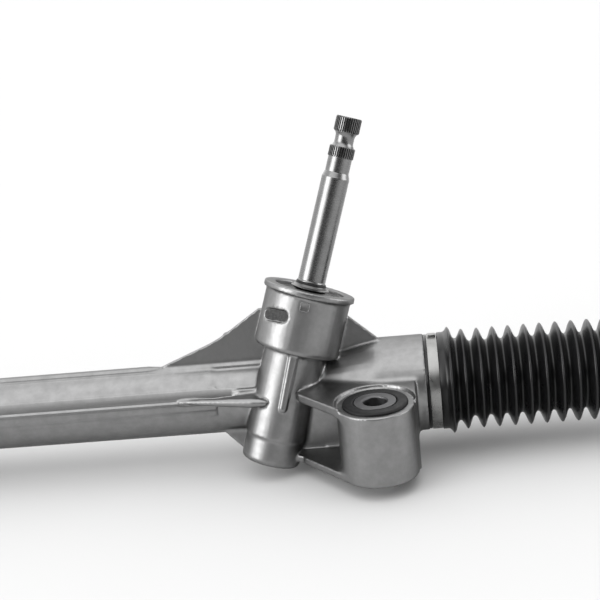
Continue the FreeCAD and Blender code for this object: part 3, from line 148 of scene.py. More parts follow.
def turnedMetal(name, place, look):
    made, tree, surface, coordinates = newMaterial(name, {"Metallic": 1.0})
    turn = place.to_euler()
    own = addNode(tree, "ShaderNodeMapping", {"vector_type": "TEXTURE", "Location": place.to_translation(),
                                              "Rotation": (turn.x, turn.y, turn.z)},
                  {"Vector": coordinates}).outputs["Vector"]
    across = grainScale(ringAcrossMm)
    rings = addNode(tree, "ShaderNodeMapping", {"Scale": (across, across, grainScale(look["ringMm"]))},
                    {"Vector": own}).outputs["Vector"]
    score = addNode(tree, "ShaderNodeTexNoise", {"Scale": 1.0, "Detail": 3.0},
                    {"Vector": rings}).outputs["Fac"]
    stain = addNode(tree, "ShaderNodeTexNoise", {"Scale": grainScale(look["stainMm"]), "Detail": 3.0},
                    {"Vector": own}).outputs["Fac"]
    tree.links.new(colourRamp(tree, stain, [(0.3, look["dark"]), (0.7, look["light"])]),
                   surface.inputs["Base Color"])
    tree.links.new(rangeOf(tree, score, look["roughLow"], look["roughHigh"]), surface.inputs["Roughness"])
    cut = addNode(tree, "ShaderNodeBump", {"Strength": look["cut"], "Distance": 0.01 * mm}, {"Height": score})
    tree.links.new(cut.outputs["Normal"], surface.inputs["Normal"])
    return made


# A cloud in the colour and gloss over a fine grain, for plated, coated and moulded skins
def cloudySkin(name, shader, look, detail):
    made, tree, surface, place = newMaterial(name, shader)
    cloud = addNode(tree, "ShaderNodeTexNoise", {"Scale": grainScale(look["cloudMm"]), "Detail": detail},
                    {"Vector": place}).outputs["Fac"]
    tree.links.new(colourRamp(tree, cloud, [(0.3, look["dark"]), (0.7, look["light"])]),
                   surface.inputs["Base Color"])
    tree.links.new(rangeOf(tree, cloud, look["roughLow"], look["roughHigh"]), surface.inputs["Roughness"])
    fine = addNode(tree, "ShaderNodeTexNoise", {"Scale": grainScale(look["grainMm"]), "Detail": 2.0},
                   {"Vector": place}).outputs["Fac"]
    skin = addNode(tree, "ShaderNodeBump", {"Strength": 0.5, "Distance": look["depthMm"] * mm},
                   {"Height": fine})
    tree.links.new(skin.outputs["Normal"], surface.inputs["Normal"])
    return made


def coatedMetal(name, look):
    return cloudySkin(name, {"Metallic": 1.0}, look, 5.0)


def mouldedSkin(name, look):
    return cloudySkin(name, {"IOR": look["ior"]}, look, 4.0)


# Die-cast aluminium, shot blasted: a satin grey skin, faintly mottled, with a sandy grain.
# The real grain is a fifth of a millimetre, drawn as 1 mm so that it shows.
castLook = {"dark": "#838383", "light": "#8f8f8f", "rim": "#bcbcbc", "roughLow": 0.33, "roughHigh": 0.41,
            "mottleMm": 7.0, "grainMm": 1.0, "waveMm": 16.0, "grainDepthMm": 0.02, "waveDepthMm": 0.04}
castSkin = castAluminium("dieCastAluminium", castLook)
# The same metal in the collar's recess, darker, duller and blotched: painted shade for the recess
recessShadeLook = {"dark": "#363636", "light": "#4c4c4c", "rim": "#bcbcbc", "roughLow": 0.45, "roughHigh": 0.60,
             "mottleMm": 1.2, "grainMm": 0.7, "waveMm": 6.0, "grainDepthMm": 0.04, "waveDepthMm": 0.04}
recessShadeSkin = castAluminium("recessShadeAluminium", recessShadeLook)
# Ground shaft steel: bright and even, with rings that are felt more than seen
shaftSkin = turnedMetal("groundShaftSteel", pinionPlace, {
    "ringMm": 0.35, "stainMm": 9.0, "dark": "#7a7a7a", "light": "#858585", "roughLow": 0.25,
    "roughHigh": 0.29, "cut": 0.02})
# Turned hub steel: darker than the shaft, with visible rings
hubSkin = turnedMetal("turnedHubSteel", pinionPlace, {
    "ringMm": 0.4, "stainMm": 6.0, "dark": "#565656", "light": "#6e6e6e", "roughLow": 0.26,
    "roughHigh": 0.36, "cut": 0.1})
# Turned aluminium: pale, with open rings across its face
capSkin = turnedMetal("turnedAluminium", pinionPlace, {
    "ringMm": 0.5, "stainMm": 8.0, "dark": "#9e9e9d", "light": "#b9b9b8", "roughLow": 0.28,
    "roughHigh": 0.42, "cut": 0.5})
# Ground rack steel: pale and glossy along the bar
rackSkin = turnedMetal("groundRackSteel", endPlace["right"], {
    "ringMm": 0.4, "stainMm": 12.0, "dark": "#a6a6a5", "light": "#c2c2c1", "roughLow": 0.18,
    "roughHigh": 0.30, "cut": 0.3})
# Ground bearing steel: bright, faintly blue
bearingSkin = turnedMetal("bearingSteel", pinionPlace, {
    "ringMm": 0.4, "stainMm": 6.0, "dark": "#a8a9aa", "light": "#c6c7c8", "roughLow": 0.15,
    "roughHigh": 0.25, "cut": 0.3})
# Phosphated steel: a thin matt grey crystal coat
phosphateSkin = coatedMetal("phosphatedSteel", {"cloudMm": 3.0, "dark": "#5c5c5d", "light": "#6c6c6d",
                            "roughLow": 0.42, "roughHigh": 0.58, "grainMm": 0.4, "depthMm": 0.02})
# Broached grooves of the serrations, darkened as painted shade between the teeth
grooveShadeSkin = coatedMetal("shadedGrooveSteel", {"cloudMm": 1.5, "dark": "#3c3c3c", "light": "#565656",
                         "roughLow": 0.30, "roughHigh": 0.42, "grainMm": 0.3, "depthMm": 0.01})
# Zinc plate, clear passivated: pale, slightly warm and cloudy
zincSkin = coatedMetal("zincPlatedSteel", {"cloudMm": 4.0, "dark": "#9b9a94", "light": "#b6b5ae",
                       "roughLow": 0.28, "roughHigh": 0.42, "grainMm": 0.5, "depthMm": 0.01})
# Cold-rolled stainless strip: bright, with a soft brushed face
stripSkin = coatedMetal("stainlessStrip", {"cloudMm": 5.0, "dark": "#888887", "light": "#969695",
                        "roughLow": 0.24, "roughHigh": 0.36, "grainMm": 0.3, "depthMm": 0.008})
# Oiled spring steel: nearly black with a wet gleam
springSkin = coatedMetal("oiledSpringSteel", {"cloudMm": 2.0, "dark": "#2e2e2f", "light": "#444445",
                         "roughLow": 0.28, "roughHigh": 0.42, "grainMm": 0.3, "depthMm": 0.01})
# Sintered bronze: warm, open-grained metal
bronzeSkin = coatedMetal("sinteredBronze", {"cloudMm": 1.5, "dark": "#8a6a40", "light": "#a98654",
                         "roughLow": 0.40, "roughHigh": 0.55, "grainMm": 0.3, "depthMm": 0.03})
# Lapped ball steel: nearly a mirror
ballSkin = coatedMetal("lappedBallSteel", {"cloudMm": 3.0, "dark": "#bfc0c2", "light": "#d3d4d6",
                       "roughLow": 0.06, "roughHigh": 0.12, "grainMm": 0.3, "depthMm": 0.002})
# Chloroprene boot: black, half-glossy from the mould
bootSkin = mouldedSkin("chloropreneRubber", {"ior": 1.42, "cloudMm": 12.0, "dark": "#0a0a0b",
                       "light": "#111112", "roughLow": 0.26, "roughHigh": 0.36, "grainMm": 0.8,
                       "depthMm": 0.02})
# Natural rubber bush: black and a little duller, from mould release
bushSkin = mouldedSkin("naturalRubber", {"ior": 1.35, "cloudMm": 5.0, "dark": "#070708",
                       "light": "#0e0e0f", "roughLow": 0.45, "roughHigh": 0.60, "grainMm": 0.6,
                       "depthMm": 0.03})
# Nitrile seal: black, with lighter specks painted in as glints on its grease
sealSkin = mouldedSkin("nitrileRubber", {"ior": 1.52, "cloudMm": 0.9, "dark": "#0b0b0c",
                       "light": "#3c3c3c", "roughLow": 0.34, "roughHigh": 0.70, "grainMm": 0.9,
                       "depthMm": 0.12})
# Natural acetal: milky plastic
acetalSkin = mouldedSkin("naturalAcetal", {"ior": 1.48, "cloudMm": 6.0, "dark": "#d3cfc2",
                         "light": "#dedbd0", "roughLow": 0.30, "roughHigh": 0.42, "grainMm": 0.8,
                         "depthMm": 0.01})
# Filled PTFE liner: dark grey, waxy
linerSkin = mouldedSkin("filledPtfe", {"ior": 1.40, "cloudMm": 3.0, "dark": "#3a3c3e",
                        "light": "#4a4c4e", "roughLow": 0.35, "roughHigh": 0.50, "grainMm": 0.6,
                        "depthMm": 0.01})
print("materials ready")


def addPiece(name, bm, body, material, replaced=(), sharp=35.0):
    mesh = bpy.data.meshes.new(name)
    bm.to_mesh(mesh)
    bm.free()
    mesh.materials.append(material)
    mesh.polygons.foreach_set("use_smooth", [True] * len(mesh.polygons))
    mesh.set_sharp_from_angle(angle=math.radians(sharp))
    piece = bpy.data.objects.new(name, mesh)
    bpy.context.scene.collection.objects.link(piece)
    if body:
        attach(piece, body)
    if replaced:
        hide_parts(*replaced)
    return piece


def joinInto(bm, part):
    spare = bpy.data.meshes.new("spare")
    part.to_mesh(spare)
    part.free()
    bm.from_mesh(spare)
    bpy.data.meshes.remove(spare)


# A profile with points close inside the ends of its long runs, which keeps the shading of each run even
def supported(profile, closed, gap):
    points = []
    pairs = list(zip(profile, profile[1:])) + ([(profile[-1], profile[0])] if closed else [])
    for start, end in pairs:
        points.append(start)
        length = math.dist(start, end)
        if length > 4 * gap:
            for share in (gap / length, 1 - gap / length):
                points.append(tuple(low + (high - low) * share for low, high in zip(start, end)))
    return points if closed else points + [profile[-1]]


def spinProfile(bm, profile, steps=96, closed=True, gap=0.0):
    if gap:
        profile = supported(profile, closed, gap)
    ring = [bm.verts.new((radius * mm, 0, height * mm)) for radius, height in profile]
    pairs = list(zip(ring, ring[1:])) + ([(ring[-1], ring[0])] if closed else [])
    edges = [bm.edges.new(pair) for pair in pairs]
    bmesh.ops.spin(bm, geom=ring + edges, cent=(0, 0, 0), axis=(0, 0, 1), angle=2 * math.pi,
                   steps=steps, use_merge=True, use_duplicate=False)
    bmesh.ops.remove_doubles(bm, verts=bm.verts, dist=1e-6)
    bmesh.ops.recalc_face_normals(bm, faces=bm.faces)


def easeEdges(bm, width, angle=30.0, segments=2):
    sharp = [e for e in bm.edges if len(e.link_faces) == 2 and e.calc_face_angle(0) > math.radians(angle)]
    bmesh.ops.bevel(bm, geom=sharp, offset=width * mm, affect="EDGES", segments=segments, profile=0.5,
                    material=-1, clamp_overlap=True)


def turnedPiece(name, profile, place, body, material, replaced=(), ease=0.25, steps=96):
    bm = bmesh.new()
    spinProfile(bm, profile, steps, gap=ease * 2)
    if ease:
        easeEdges(bm, ease)
    bmesh.ops.transform(bm, matrix=place, verts=bm.verts)
    return addPiece(name, bm, body, material, replaced)


def nodeCopy(node):
    bm = bmesh.new()
    bm.from_mesh(nodes[node].data)
    bmesh.ops.remove_doubles(bm, verts=bm.verts, dist=1e-6)
    return bm


def easedCopy(name, node, body, material, ease=0.3):
    bm = nodeCopy(node)
    bmesh.ops.dissolve_limit(bm, angle_limit=math.radians(1.0), verts=bm.verts, edges=bm.edges)
    easeEdges(bm, ease, 40.0)
    return addPiece(name, bm, body, material, (node,))


# The casting is the solid's form with a skin of small even faces, whose hollow corners are then filled:
# a few rounds everywhere, and more where the tower, the plate and the drum meet
housingCast = {"voxelMm": 0.8, "roundsEverywhere": 7, "roundsAtTower": 26, "roundsPerNormal": 6,
               "hollowShare": 0.55, "easeShare": 0.02, "polishPairs": 3, "towerX": (-34.0, 31.5),
               "towerY": (-25.0, 45.0), "towerZ": (-24.0, 36.0), "mostTriangles": 188000}
polishShares = (0.5, -0.53)      # one push inwards and one back, so that nothing shrinks
# What stays sharp: radii round each axis, and the heights from which they count
machinedSizes = {"sealSeat": 23.2, "sealSeatLow": 55.0, "rim": 32.0, "rimLow": 66.0, "rackBore": 18.0,
                 "bushHole": 18.0, "spotface": 25.5, "spotfaceLow": 22.3, "recess": 13.0}
# Dark recess in the front of the tower's collar; a thin sheet laid in it carries painted shade
recessSizes = {"turn": 40.0, "middle": 52.0, "floor": 24.5, "half": 10.0, "high": 7.0, "round": 3.4,
               "slope": 7.8, "thick": 0.3}


def readPlaces(mesh):
    place = np.empty(len(mesh.vertices) * 3, np.float32)
    mesh.vertices.foreach_get("co", place)
    return place.reshape(-1, 3).astype(float)


def writePlaces(mesh, place):
    mesh.vertices.foreach_set("co", place.astype(np.float32).ravel())
    mesh.update()


def edgeEnds(mesh):
    ends = np.empty(len(mesh.edges) * 2, np.int32)
    mesh.edges.foreach_get("vertices", ends)
    ends = ends.reshape(-1, 2)
    return ends, np.bincount(ends.ravel(), minlength=len(mesh.vertices))[:, None]


def pullToNeighbours(place, ends, beside):
    count = len(place)
    total = np.stack([np.bincount(ends[:, 0], weights=place[ends[:, 1], k], minlength=count)
                      + np.bincount(ends[:, 1], weights=place[ends[:, 0], k], minlength=count)
                      for k in range(3)], axis=1)
    return total / beside - place


def polished(place, ends, beside, free, pairs):
    for share in polishShares * pairs:
        place = place + pullToNeighbours(place, ends, beside) * share * free
    return place


def filletCreases(mesh, look):
    place = readPlaces(mesh)
    ends, beside = edgeEnds(mesh)
    free = 1.0 - machinedPlaces(place, machinedSizes)[:, None]
    tower = towerZone(place, look)[:, None]
    for turn in range(look["roundsAtTower"]):
        if turn % look["roundsPerNormal"] == 0:       # the outward direction follows the growing fillet
            writePlaces(mesh, place)
            outward = np.empty(len(place) * 3, np.float32)
            mesh.vertex_normals.foreach_get("vector", outward)
            outward = outward.reshape(-1, 3)
        pull = pullToNeighbours(place, ends, beside)
        hollow = (pull * outward).sum(1, keepdims=True) > 0
        share = np.where(hollow, look["hollowShare"], look["easeShare"])
        if turn >= look["roundsEverywhere"]:
            share = share * tower
        place = place + pull * share * free
    writePlaces(mesh, polished(place, ends, beside, free, look["polishPairs"]))


def seenFromPinion(place):
    toPinion = np.array(pinionPlace.inverted())
    return place @ toPinion[:3, :3].T + toPinion[:3, 3]


def machinedPlaces(place, sizes):
    own = seenFromPinion(place)
    around = np.hypot(own[:, 0], own[:, 1])
    seat = (around < sizes["sealSeat"] * mm) & (own[:, 2] > sizes["sealSeatLow"] * mm)
    rim = (around < sizes["rim"] * mm) & (own[:, 2] > sizes["rimLow"] * mm)
    rack = np.hypot(place[:, 1] - gearLine["rackBack"] * mm, place[:, 2] - gearLine["rackRise"] * mm)
    bore = rack < sizes["rackBore"] * mm
    bush = np.hypot(place[:, 0], place[:, 1])
    farBush = np.hypot(place[:, 0] + gearLine["bushSpan"] * mm, place[:, 1])
    turn = Matrix.Rotation(math.radians(-recessSizes["turn"]), 3, "Z")
    recess = turn @ Vector((0, -recessSizes["floor"], 0))
    fromRecess = own - np.array([recess.x, recess.y, recessSizes["middle"]]) * mm
    slot = np.linalg.norm(fromRecess, axis=1) < sizes["recess"] * mm
    holes = (bush < sizes["bushHole"] * mm) | (farBush < sizes["bushHole"] * mm) | slot
    nearBush = np.minimum(bush, farBush) < sizes["spotface"] * mm
    spotfaces = nearBush & (place[:, 2] > sizes["spotfaceLow"] * mm)
    return (seat | rim | bore | holes | spotfaces).astype(float)


def towerZone(place, look):
    inside = np.ones(len(place), bool)
    for axis, span in enumerate(("towerX", "towerY", "towerZ")):
        low, high = look[span]
        inside &= (place[:, axis] > low * mm) & (place[:, axis] < high * mm)
    return inside.astype(float)


def softStep(value, soft):
    share = np.clip(value / soft + 0.5, 0, 1)
    return share * share * (3 - 2 * share)


# Raised spine down the front of the column: its edges at the top and the foot, and the zone it is shaped in
spineSizes = {"column": 19.5, "high": 1.4, "top": 31.0, "foot": -6.5, "leftTop": -2.6, "rightTop": 3.3,
              "leftFoot": -0.9, "rightFoot": 3.6, "soft": 1.5, "zoneHalf": 9.5, "zoneFoot": -13.0,
              "zoneIn": 0.9, "zoneOut": 3.4, "topGap": 0.8, "topFade": 1.5}
# Polish of the spine's own stretch of skin
spinePolish = {"pairs": 5, "half": 9.0, "topGap": 1.5, "middle": 0.7, "reach": 2.0}


def shapeSpine(mesh, sizes):
    own = seenFromPinion(readPlaces(mesh)) / mm
    around = np.hypot(own[:, 0], own[:, 1])
    near = ((own[:, 1] < 0) & (np.abs(own[:, 0]) < sizes["zoneHalf"]) & (own[:, 2] > sizes["zoneFoot"])
            & (around > sizes["column"] - sizes["zoneIn"]) & (around < sizes["column"] + sizes["zoneOut"]))
    near = near * np.clip((sizes["top"] - sizes["topGap"] - own[:, 2]) / sizes["topFade"], 0, 1)
    share = np.clip((sizes["top"] - own[:, 2]) / (sizes["top"] - sizes["foot"]), 0, 1)
    left = sizes["leftTop"] + (sizes["leftFoot"] - sizes["leftTop"]) * share
    right = sizes["rightTop"] + (sizes["rightFoot"] - sizes["rightTop"]) * share
    middle, half = (left + right) / 2, (right - left) / 2
    below = np.minimum(own[:, 2] - sizes["foot"] - half, 0)
    inward = half - np.hypot(own[:, 0] - middle, below)
    wanted = sizes["column"] + sizes["high"] * softStep(inward, sizes["soft"])
    scale = 1 + (wanted / around - 1) * near
    own[:, 0] *= scale
    own[:, 1] *= scale
    back = np.array(pinionPlace)
    writePlaces(mesh, (own * mm) @ back[:3, :3].T + back[:3, 3])


def polishSpine(mesh, sizes, look):
    place = readPlaces(mesh)
    own = seenFromPinion(place) / mm
    around = np.hypot(own[:, 0], own[:, 1])
    beside = ((own[:, 1] < 0) & (np.abs(own[:, 0]) < look["half"]) & (own[:, 2] > sizes["zoneFoot"])
              & (own[:, 2] < sizes["top"] - look["topGap"])
              & (np.abs(around - sizes["column"] - look["middle"]) < look["reach"]))
    ends, neighbours = edgeEnds(mesh)
    free = beside.astype(float)[:, None]
    writePlaces(mesh, polished(place, ends, neighbours, free, look["pairs"]))


# Slender round run of metal cast on the tube: it starts at the column and thins out along the tube.
# The clear values keep the ribs' shaping off it.
spearSizes = {"start": (-66.0, 22.6, 19.1), "away": 11.5, "length": 60.0, "steps": 24,
              "profile": ((0.0, 0.0), (2.0, 1.6), (5.0, 2.5), (11.0, 3.0), (20.0, 2.8), (45.0, 1.8),
                          (58.0, 1.0), (60.0, 0.0)),
              "clear": 4.2, "clearTaper": 0.055, "clearFade": 1.2}
# Tube and the two ribs that the camera sees, in degrees up from its front
tubeSizes = {"radius": 22.5, "farEnd": -374.0, "nearEnd": -86.0, "gusset": -132.0, "frontFoot": -2.0,
             "frontTop": 17.5, "frontHigh": 1.4, "frontLip": 0.45, "topFront": 88.0, "topBack": 101.0,
             "topHigh": 1.3, "soft": 1.8, "frontZone": (-10.0, 40.0), "topZone": (76.0, 112.0),
             "gussetFade": 14.0, "endFade": 5.0, "zoneIn": 0.9, "zoneOut": 3.0, "zoneFade": 0.6}


def shapeTube(mesh, sizes):
    place = readPlaces(mesh)
    ahead = gearLine["rackBack"] - place[:, 1] / mm
    rise = place[:, 2] / mm - gearLine["rackRise"]
    along = place[:, 0] / mm
    around = np.hypot(ahead, rise)
    angle = np.degrees(np.arctan2(rise, ahead))
    climb = np.clip((angle - sizes["frontFoot"]) / (sizes["frontTop"] - sizes["frontFoot"]), 0, 1)
    soft = sizes["soft"]
    front = softStep(angle - sizes["frontFoot"], soft) * softStep(sizes["frontTop"] - angle, soft)
    top = softStep(angle - sizes["topFront"], soft) * softStep(sizes["topBack"] - angle, soft)
    lip = sizes["frontLip"] + (sizes["frontHigh"] - sizes["frontLip"]) * climb
    high = front * lip + top * sizes["topHigh"]
    frontLow, frontHigh = sizes["frontZone"]
    topLow, topHigh = sizes["topZone"]
    frontZone = (angle > frontLow) & (angle < frontHigh) & (along < sizes["nearEnd"])
    topZone = (angle > topLow) & (angle < topHigh)
    topZone = topZone * np.clip((sizes["gusset"] - along) / sizes["gussetFade"], 0, 1)
    away = math.radians(spearSizes["away"])
    spearLine = np.array([-math.cos(away), math.sin(away), 0])
    fromStart = place / mm - np.array(spearSizes["start"])
    run = np.clip(fromStart @ spearLine, 0, spearSizes["length"])
    spear = np.linalg.norm(fromStart - run[:, None] * spearLine, axis=1)
    clear = spear - spearSizes["clear"] + spearSizes["clearTaper"] * run
    share = (np.maximum(frontZone, topZone) * (around > sizes["radius"] - sizes["zoneIn"])
             * np.clip((sizes["radius"] + sizes["zoneOut"] - around) / sizes["zoneFade"], 0, 1)
             * np.clip((along - sizes["farEnd"]) / sizes["endFade"], 0, 1)
             * np.clip((sizes["nearEnd"] - along) / sizes["endFade"], 0, 1)
             * np.clip(clear / spearSizes["clearFade"], 0, 1))
    scale = 1 + ((sizes["radius"] + high) / around - 1) * share
    place[:, 1] = (gearLine["rackBack"] - ahead * scale) * mm
    place[:, 2] = (gearLine["rackRise"] + rise * scale) * mm
    writePlaces(mesh, place)


def addSpear(bm, sizes):
    spear = bmesh.new()
    spinProfile(spear, [(radius, along) for along, radius in sizes["profile"]], sizes["steps"], closed=False)
    swing = Matrix.Rotation(math.radians(-sizes["away"]), 4, "Z")
    lay = Matrix.Rotation(math.radians(-90), 4, "Y")      # its own z turned along the tube
    turned = Matrix.Translation(Vector(sizes["start"]) * mm) @ swing @ lay
    bmesh.ops.transform(spear, matrix=turned, verts=spear.verts)
    joinInto(bm, spear)


def meshAsSeen(piece):
    graph = bpy.context.evaluated_depsgraph_get()
    return bpy.data.meshes.new_from_object(piece.evaluated_get(graph))


def makeCasting(look):
    bm = nodeCopy("gear_housing")
    addSpear(bm, spearSizes)
    raw = addPiece("gearCastingRaw", bm, None, castSkin)
    remesh = raw.modifiers.new("skin", "REMESH")
    remesh.mode = "VOXEL"
    remesh.voxel_size = look["voxelMm"] * mm
    remesh.use_smooth_shade = True
    mesh = meshAsSeen(raw)
    bpy.data.objects.remove(raw)
    filletCreases(mesh, look)
    shapeSpine(mesh, spineSizes)
    polishSpine(mesh, spineSizes, spinePolish)
    shapeTube(mesh, tubeSizes)
    casting = bpy.data.objects.new("gearCasting", mesh)
    bpy.context.scene.collection.objects.link(casting)
    triangles = sum(len(face.vertices) - 2 for face in mesh.polygons)
    if triangles > look["mostTriangles"]:
        thin = casting.modifiers.new("thin", "DECIMATE")
        thin.ratio = look["mostTriangles"] / triangles
        casting.data = meshAsSeen(casting)
        casting.modifiers.clear()
    casting.data.materials.clear()
    casting.data.materials.append(castSkin)
    casting.data.polygons.foreach_set("use_smooth", [True] * len(casting.data.polygons))
    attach(casting, "housing")
    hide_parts("gear_housing")
    print("casting:", triangles, "triangles before thinning")


# Thin rounded sheet in the recess, in the darker skin: painted shade for the recess
def makeRecessShadeSheet(sizes):
    bm = bmesh.new()
    bmesh.ops.create_cube(bm, size=1.0)
    bmesh.ops.scale(bm, vec=(2 * sizes["half"] * mm, sizes["thick"] * mm, sizes["high"] * mm), verts=bm.verts)
    corners = [e for e in bm.edges if abs(e.verts[0].co.y - e.verts[1].co.y) > 0.5 * sizes["thick"] * mm]
    bmesh.ops.bevel(bm, geom=corners, offset=sizes["round"] * mm, affect="EDGES", segments=8, profile=0.5,
                    material=-1)
    place = (pinionPlace @ Matrix.Rotation(math.radians(-sizes["turn"]), 4, "Z")
             @ Matrix.Translation((0, -sizes["floor"] * mm, sizes["middle"] * mm))
             @ Matrix.Rotation(math.radians(-sizes["slope"]), 4, "Y"))
    bmesh.ops.transform(bm, matrix=place, verts=bm.verts)
    bmesh.ops.recalc_face_normals(bm, faces=bm.faces)
    addPiece("recessShadeSheet", bm, "housing", recessShadeSkin, ("gear_housing",), 30.0)


# Bare square frame, raised a little on the collar beside the recess
markSizes = {"middle": 62.0, "across": 0.5, "collar": 27.0, "outer": 2.95, "inner": 2.5, "round": 1.3,
             "proud": 0.22, "sunk": 0.6}


def roundedSquare(half, radius, steps=5):
    corners = []
    for quarter in range(4):
        across = (half - radius) * (1 if quarter in (0, 3) else -1)
        up = (half - radius) * (1 if quarter < 2 else -1)
        for step in range(steps + 1):
            angle = math.pi / 2 * (quarter + step / steps)
            corners.append((across + radius * math.cos(angle), up + radius * math.sin(angle)))
    return corners


def makeMark(sizes):
    bm = bmesh.new()
    wall = (sizes["outer"] - sizes["inner"]) / 2
    proud, sunk = sizes["proud"], sizes["sunk"]
    loops = []
    for inset, lift in ((0, -sunk), (0, proud * 0.5), (wall * 0.5, proud), (wall * 1.5, proud),
                        (wall * 2, proud * 0.5), (wall * 2, -sunk)):
        reach = sizes["collar"] + lift
        loops.append([bm.verts.new(((sizes["across"] + x) * mm,
                                    -math.sqrt(reach ** 2 - (sizes["across"] + x) ** 2) * mm,
                                    (sizes["middle"] + z) * mm))
                      for x, z in roundedSquare(sizes["outer"] - inset, sizes["round"] - inset * 0.5)])
    for loop, after in zip(loops, loops[1:] + loops[:1]):
        for index in range(len(loop)):
            beyond = (index + 1) % len(loop)
            bm.faces.new((loop[index], loop[beyond], after[beyond], after[index]))
    bmesh.ops.recalc_face_normals(bm, faces=bm.faces)
    bmesh.ops.transform(bm, matrix=pinionPlace, verts=bm.verts)
    addPiece("collarMark", bm, "housing", castSkin, ("gear_housing",), 50.0)


makeCasting(housingCast)
makeRecessShadeSheet(recessSizes)
makeMark(markSizes)
print("housing ready")

# Radii and heights up the pinion's own axis; a tooth of the serrations is given in shares of its pitch
shaftSizes = {"seat": 9.0, "seatEnd": 76.0, "plain": 8.75, "step": 142.8, "stepLength": 2.8,
              "stepRound": 0.15, "edge": 0.3, "pilot": 7.55, "splineLow": 155.1, "overlap": 0.6,
              "neckLow": 162.1, "neckHigh": 171.2, "neck": 6.0,
              "neckFillet": ((0.7, 0.8), (0.2, 1.7), (0.0, 2.9)), "collar": 7.2, "collarSunk": 0.5,
              "spline": 8.1, "root": 7.35, "teeth": 36, "top": 180.8, "cutAt": 60.0,
              "tooth": ((0.0, "spline"), (0.30, "spline"), (0.50, "root"), (0.80, "root")),
              "endShare": 0.93, "leadLow": 0.5, "leadHigh": 0.8, "supportGap": 0.5}


def serratedRing(bm, sizes, low, high, lead):
    pitch = 2 * math.pi / sizes["teeth"]
    tooth = sizes["tooth"]
    levels = ((low, sizes["endShare"]), (low + lead, 1.0), (high - lead, 1.0), (high, sizes["endShare"]))
    loops = []
    for height, share in levels:
        corners = [(sizes[reach] * share * mm, pitch * (index + part))
                   for index in range(sizes["teeth"]) for part, reach in tooth]
        loops.append([bm.verts.new((radius * math.cos(turn), radius * math.sin(turn), height * mm))
                      for radius, turn in corners])
    for loop, after in zip(loops, loops[1:]):
        for index in range(len(loop)):
            beyond = (index + 1) % len(loop)
            side = bm.faces.new((loop[index], loop[beyond], after[beyond], after[index]))
            # Faces other than the crests take the darker groove skin: painted shade between the teeth
            side.material_index = 0 if index % len(tooth) == 0 else 1      # only the crests are bright
    bm.faces.new(loops[-1])
    bm.faces.new(loops[0][::-1])


def makePinion(sizes):
    bm = nodeCopy("pinion_shaft")
    cut = pinionPlace @ Vector((0, 0, sizes["cutAt"] * mm))
    normal = pinionPlace.to_3x3() @ Vector((0, 0, 1))
    bmesh.ops.bisect_plane(bm, geom=bm.verts[:] + bm.edges[:] + bm.faces[:], plane_co=cut, plane_no=normal,
                           clear_outer=True)
    bmesh.ops.holes_fill(bm, edges=[e for e in bm.edges if e.is_boundary])
    upper = bmesh.new()
    seat, plain, pilot, step = sizes["seat"], sizes["plain"], sizes["pilot"], sizes["step"]
    edge, bend = sizes["edge"], sizes["stepRound"]
    stepEnd = step + sizes["stepLength"]
    pilotEnd = sizes["splineLow"] + sizes["overlap"]
    spinProfile(upper, [(0, sizes["cutAt"]), (seat, sizes["cutAt"]), (seat, sizes["seatEnd"] - edge),
                        (plain, sizes["seatEnd"]), (plain, step - edge), (plain - bend, step),
                        (pilot + bend, stepEnd), (pilot, stepEnd + edge), (pilot, pilotEnd), (0, pilotEnd)],
                gap=sizes["supportGap"])
    neck, low, high, ring = sizes["neck"], sizes["neckLow"], sizes["neckHigh"], sizes["collar"]
    sunk = sizes["collarSunk"]
    rising = [(neck + out, low + along) for out, along in sizes["neckFillet"]]
    falling = [(neck + out, high - along) for out, along in reversed(sizes["neckFillet"])]
    collar = bmesh.new()
    spinProfile(collar, [(0, low - sunk), (ring, low - sunk), (ring, low)] + rising + falling
                + [(ring, high), (ring, high + sunk), (0, high + sunk)])
    serratedRing(collar, sizes, sizes["splineLow"], low, sizes["leadLow"])
    serratedRing(collar, sizes, high, sizes["top"], sizes["leadHigh"])
    bmesh.ops.recalc_face_normals(collar, faces=collar.faces)
    for part in (upper, collar):
        bmesh.ops.transform(part, matrix=pinionPlace, verts=part.verts)
        joinInto(bm, part)
    shaft = addPiece("pinionShaft", bm, "pinion", shaftSkin, ("pinion_shaft",), 26.0)
    shaft.data.materials.append(grooveShadeSkin)


makePinion(shaftSizes)

# Outlines of the turned pieces in the tower, as radius and height up the pinion's own axis
towerSizes = {"seal": [(9.04, 63.0), (11.2, 63.0), (12.2, 66.3), (20.0, 66.3), (20.0, 62.0), (21.95, 62.0),
                       (21.95, 69.6), (21.3, 70.0), (20.7, 69.6), (20.3, 68.9), (17.6, 68.9), (17.1, 68.4),
                       (14.9, 68.4), (14.4, 69.0), (13.3, 69.3), (9.04, 68.0)],
              "hub": [(9.0, 69.7), (9.5, 69.7), (12.2, 71.2), (12.2, 71.6), (10.9, 72.2), (10.1, 73.0),
                      (9.9, 73.6), (9.0, 73.6)],
              "shadowRing": [(9.0, 73.6), (9.9, 73.6), (9.8, 74.1), (9.3, 75.2), (9.0, 75.2)],
              "plug": [(0.0, -42.0), (13.2, -42.0), (14.0, -41.2), (14.0, -38.9), (13.7, -38.5),
                       (12.9, -38.5), (12.5, -38.9), (12.5, -40.0), (12.0, -40.5), (0.0, -40.5)]}
turnedPiece("inputSeal", towerSizes["seal"], pinionPlace, "housing", sealSkin,
            ("pinion_seal",), 0.12)
turnedPiece("hubRing", towerSizes["hub"], pinionPlace, "pinion", hubSkin,
            ("seal_hub_ring",), 0.1)
# Black ring where the shaft meets the hub: painted shade for the dark line at the shaft's base
turnedPiece("hubShadowRing", towerSizes["shadowRing"], pinionPlace, "pinion", bushSkin,
            ("seal_hub_ring",), 0.1)
turnedPiece("corePlug", towerSizes["plug"], pinionPlace, "housing", capSkin,
            ("pinion_end_cap",), 0.15)
print("tower pieces ready")

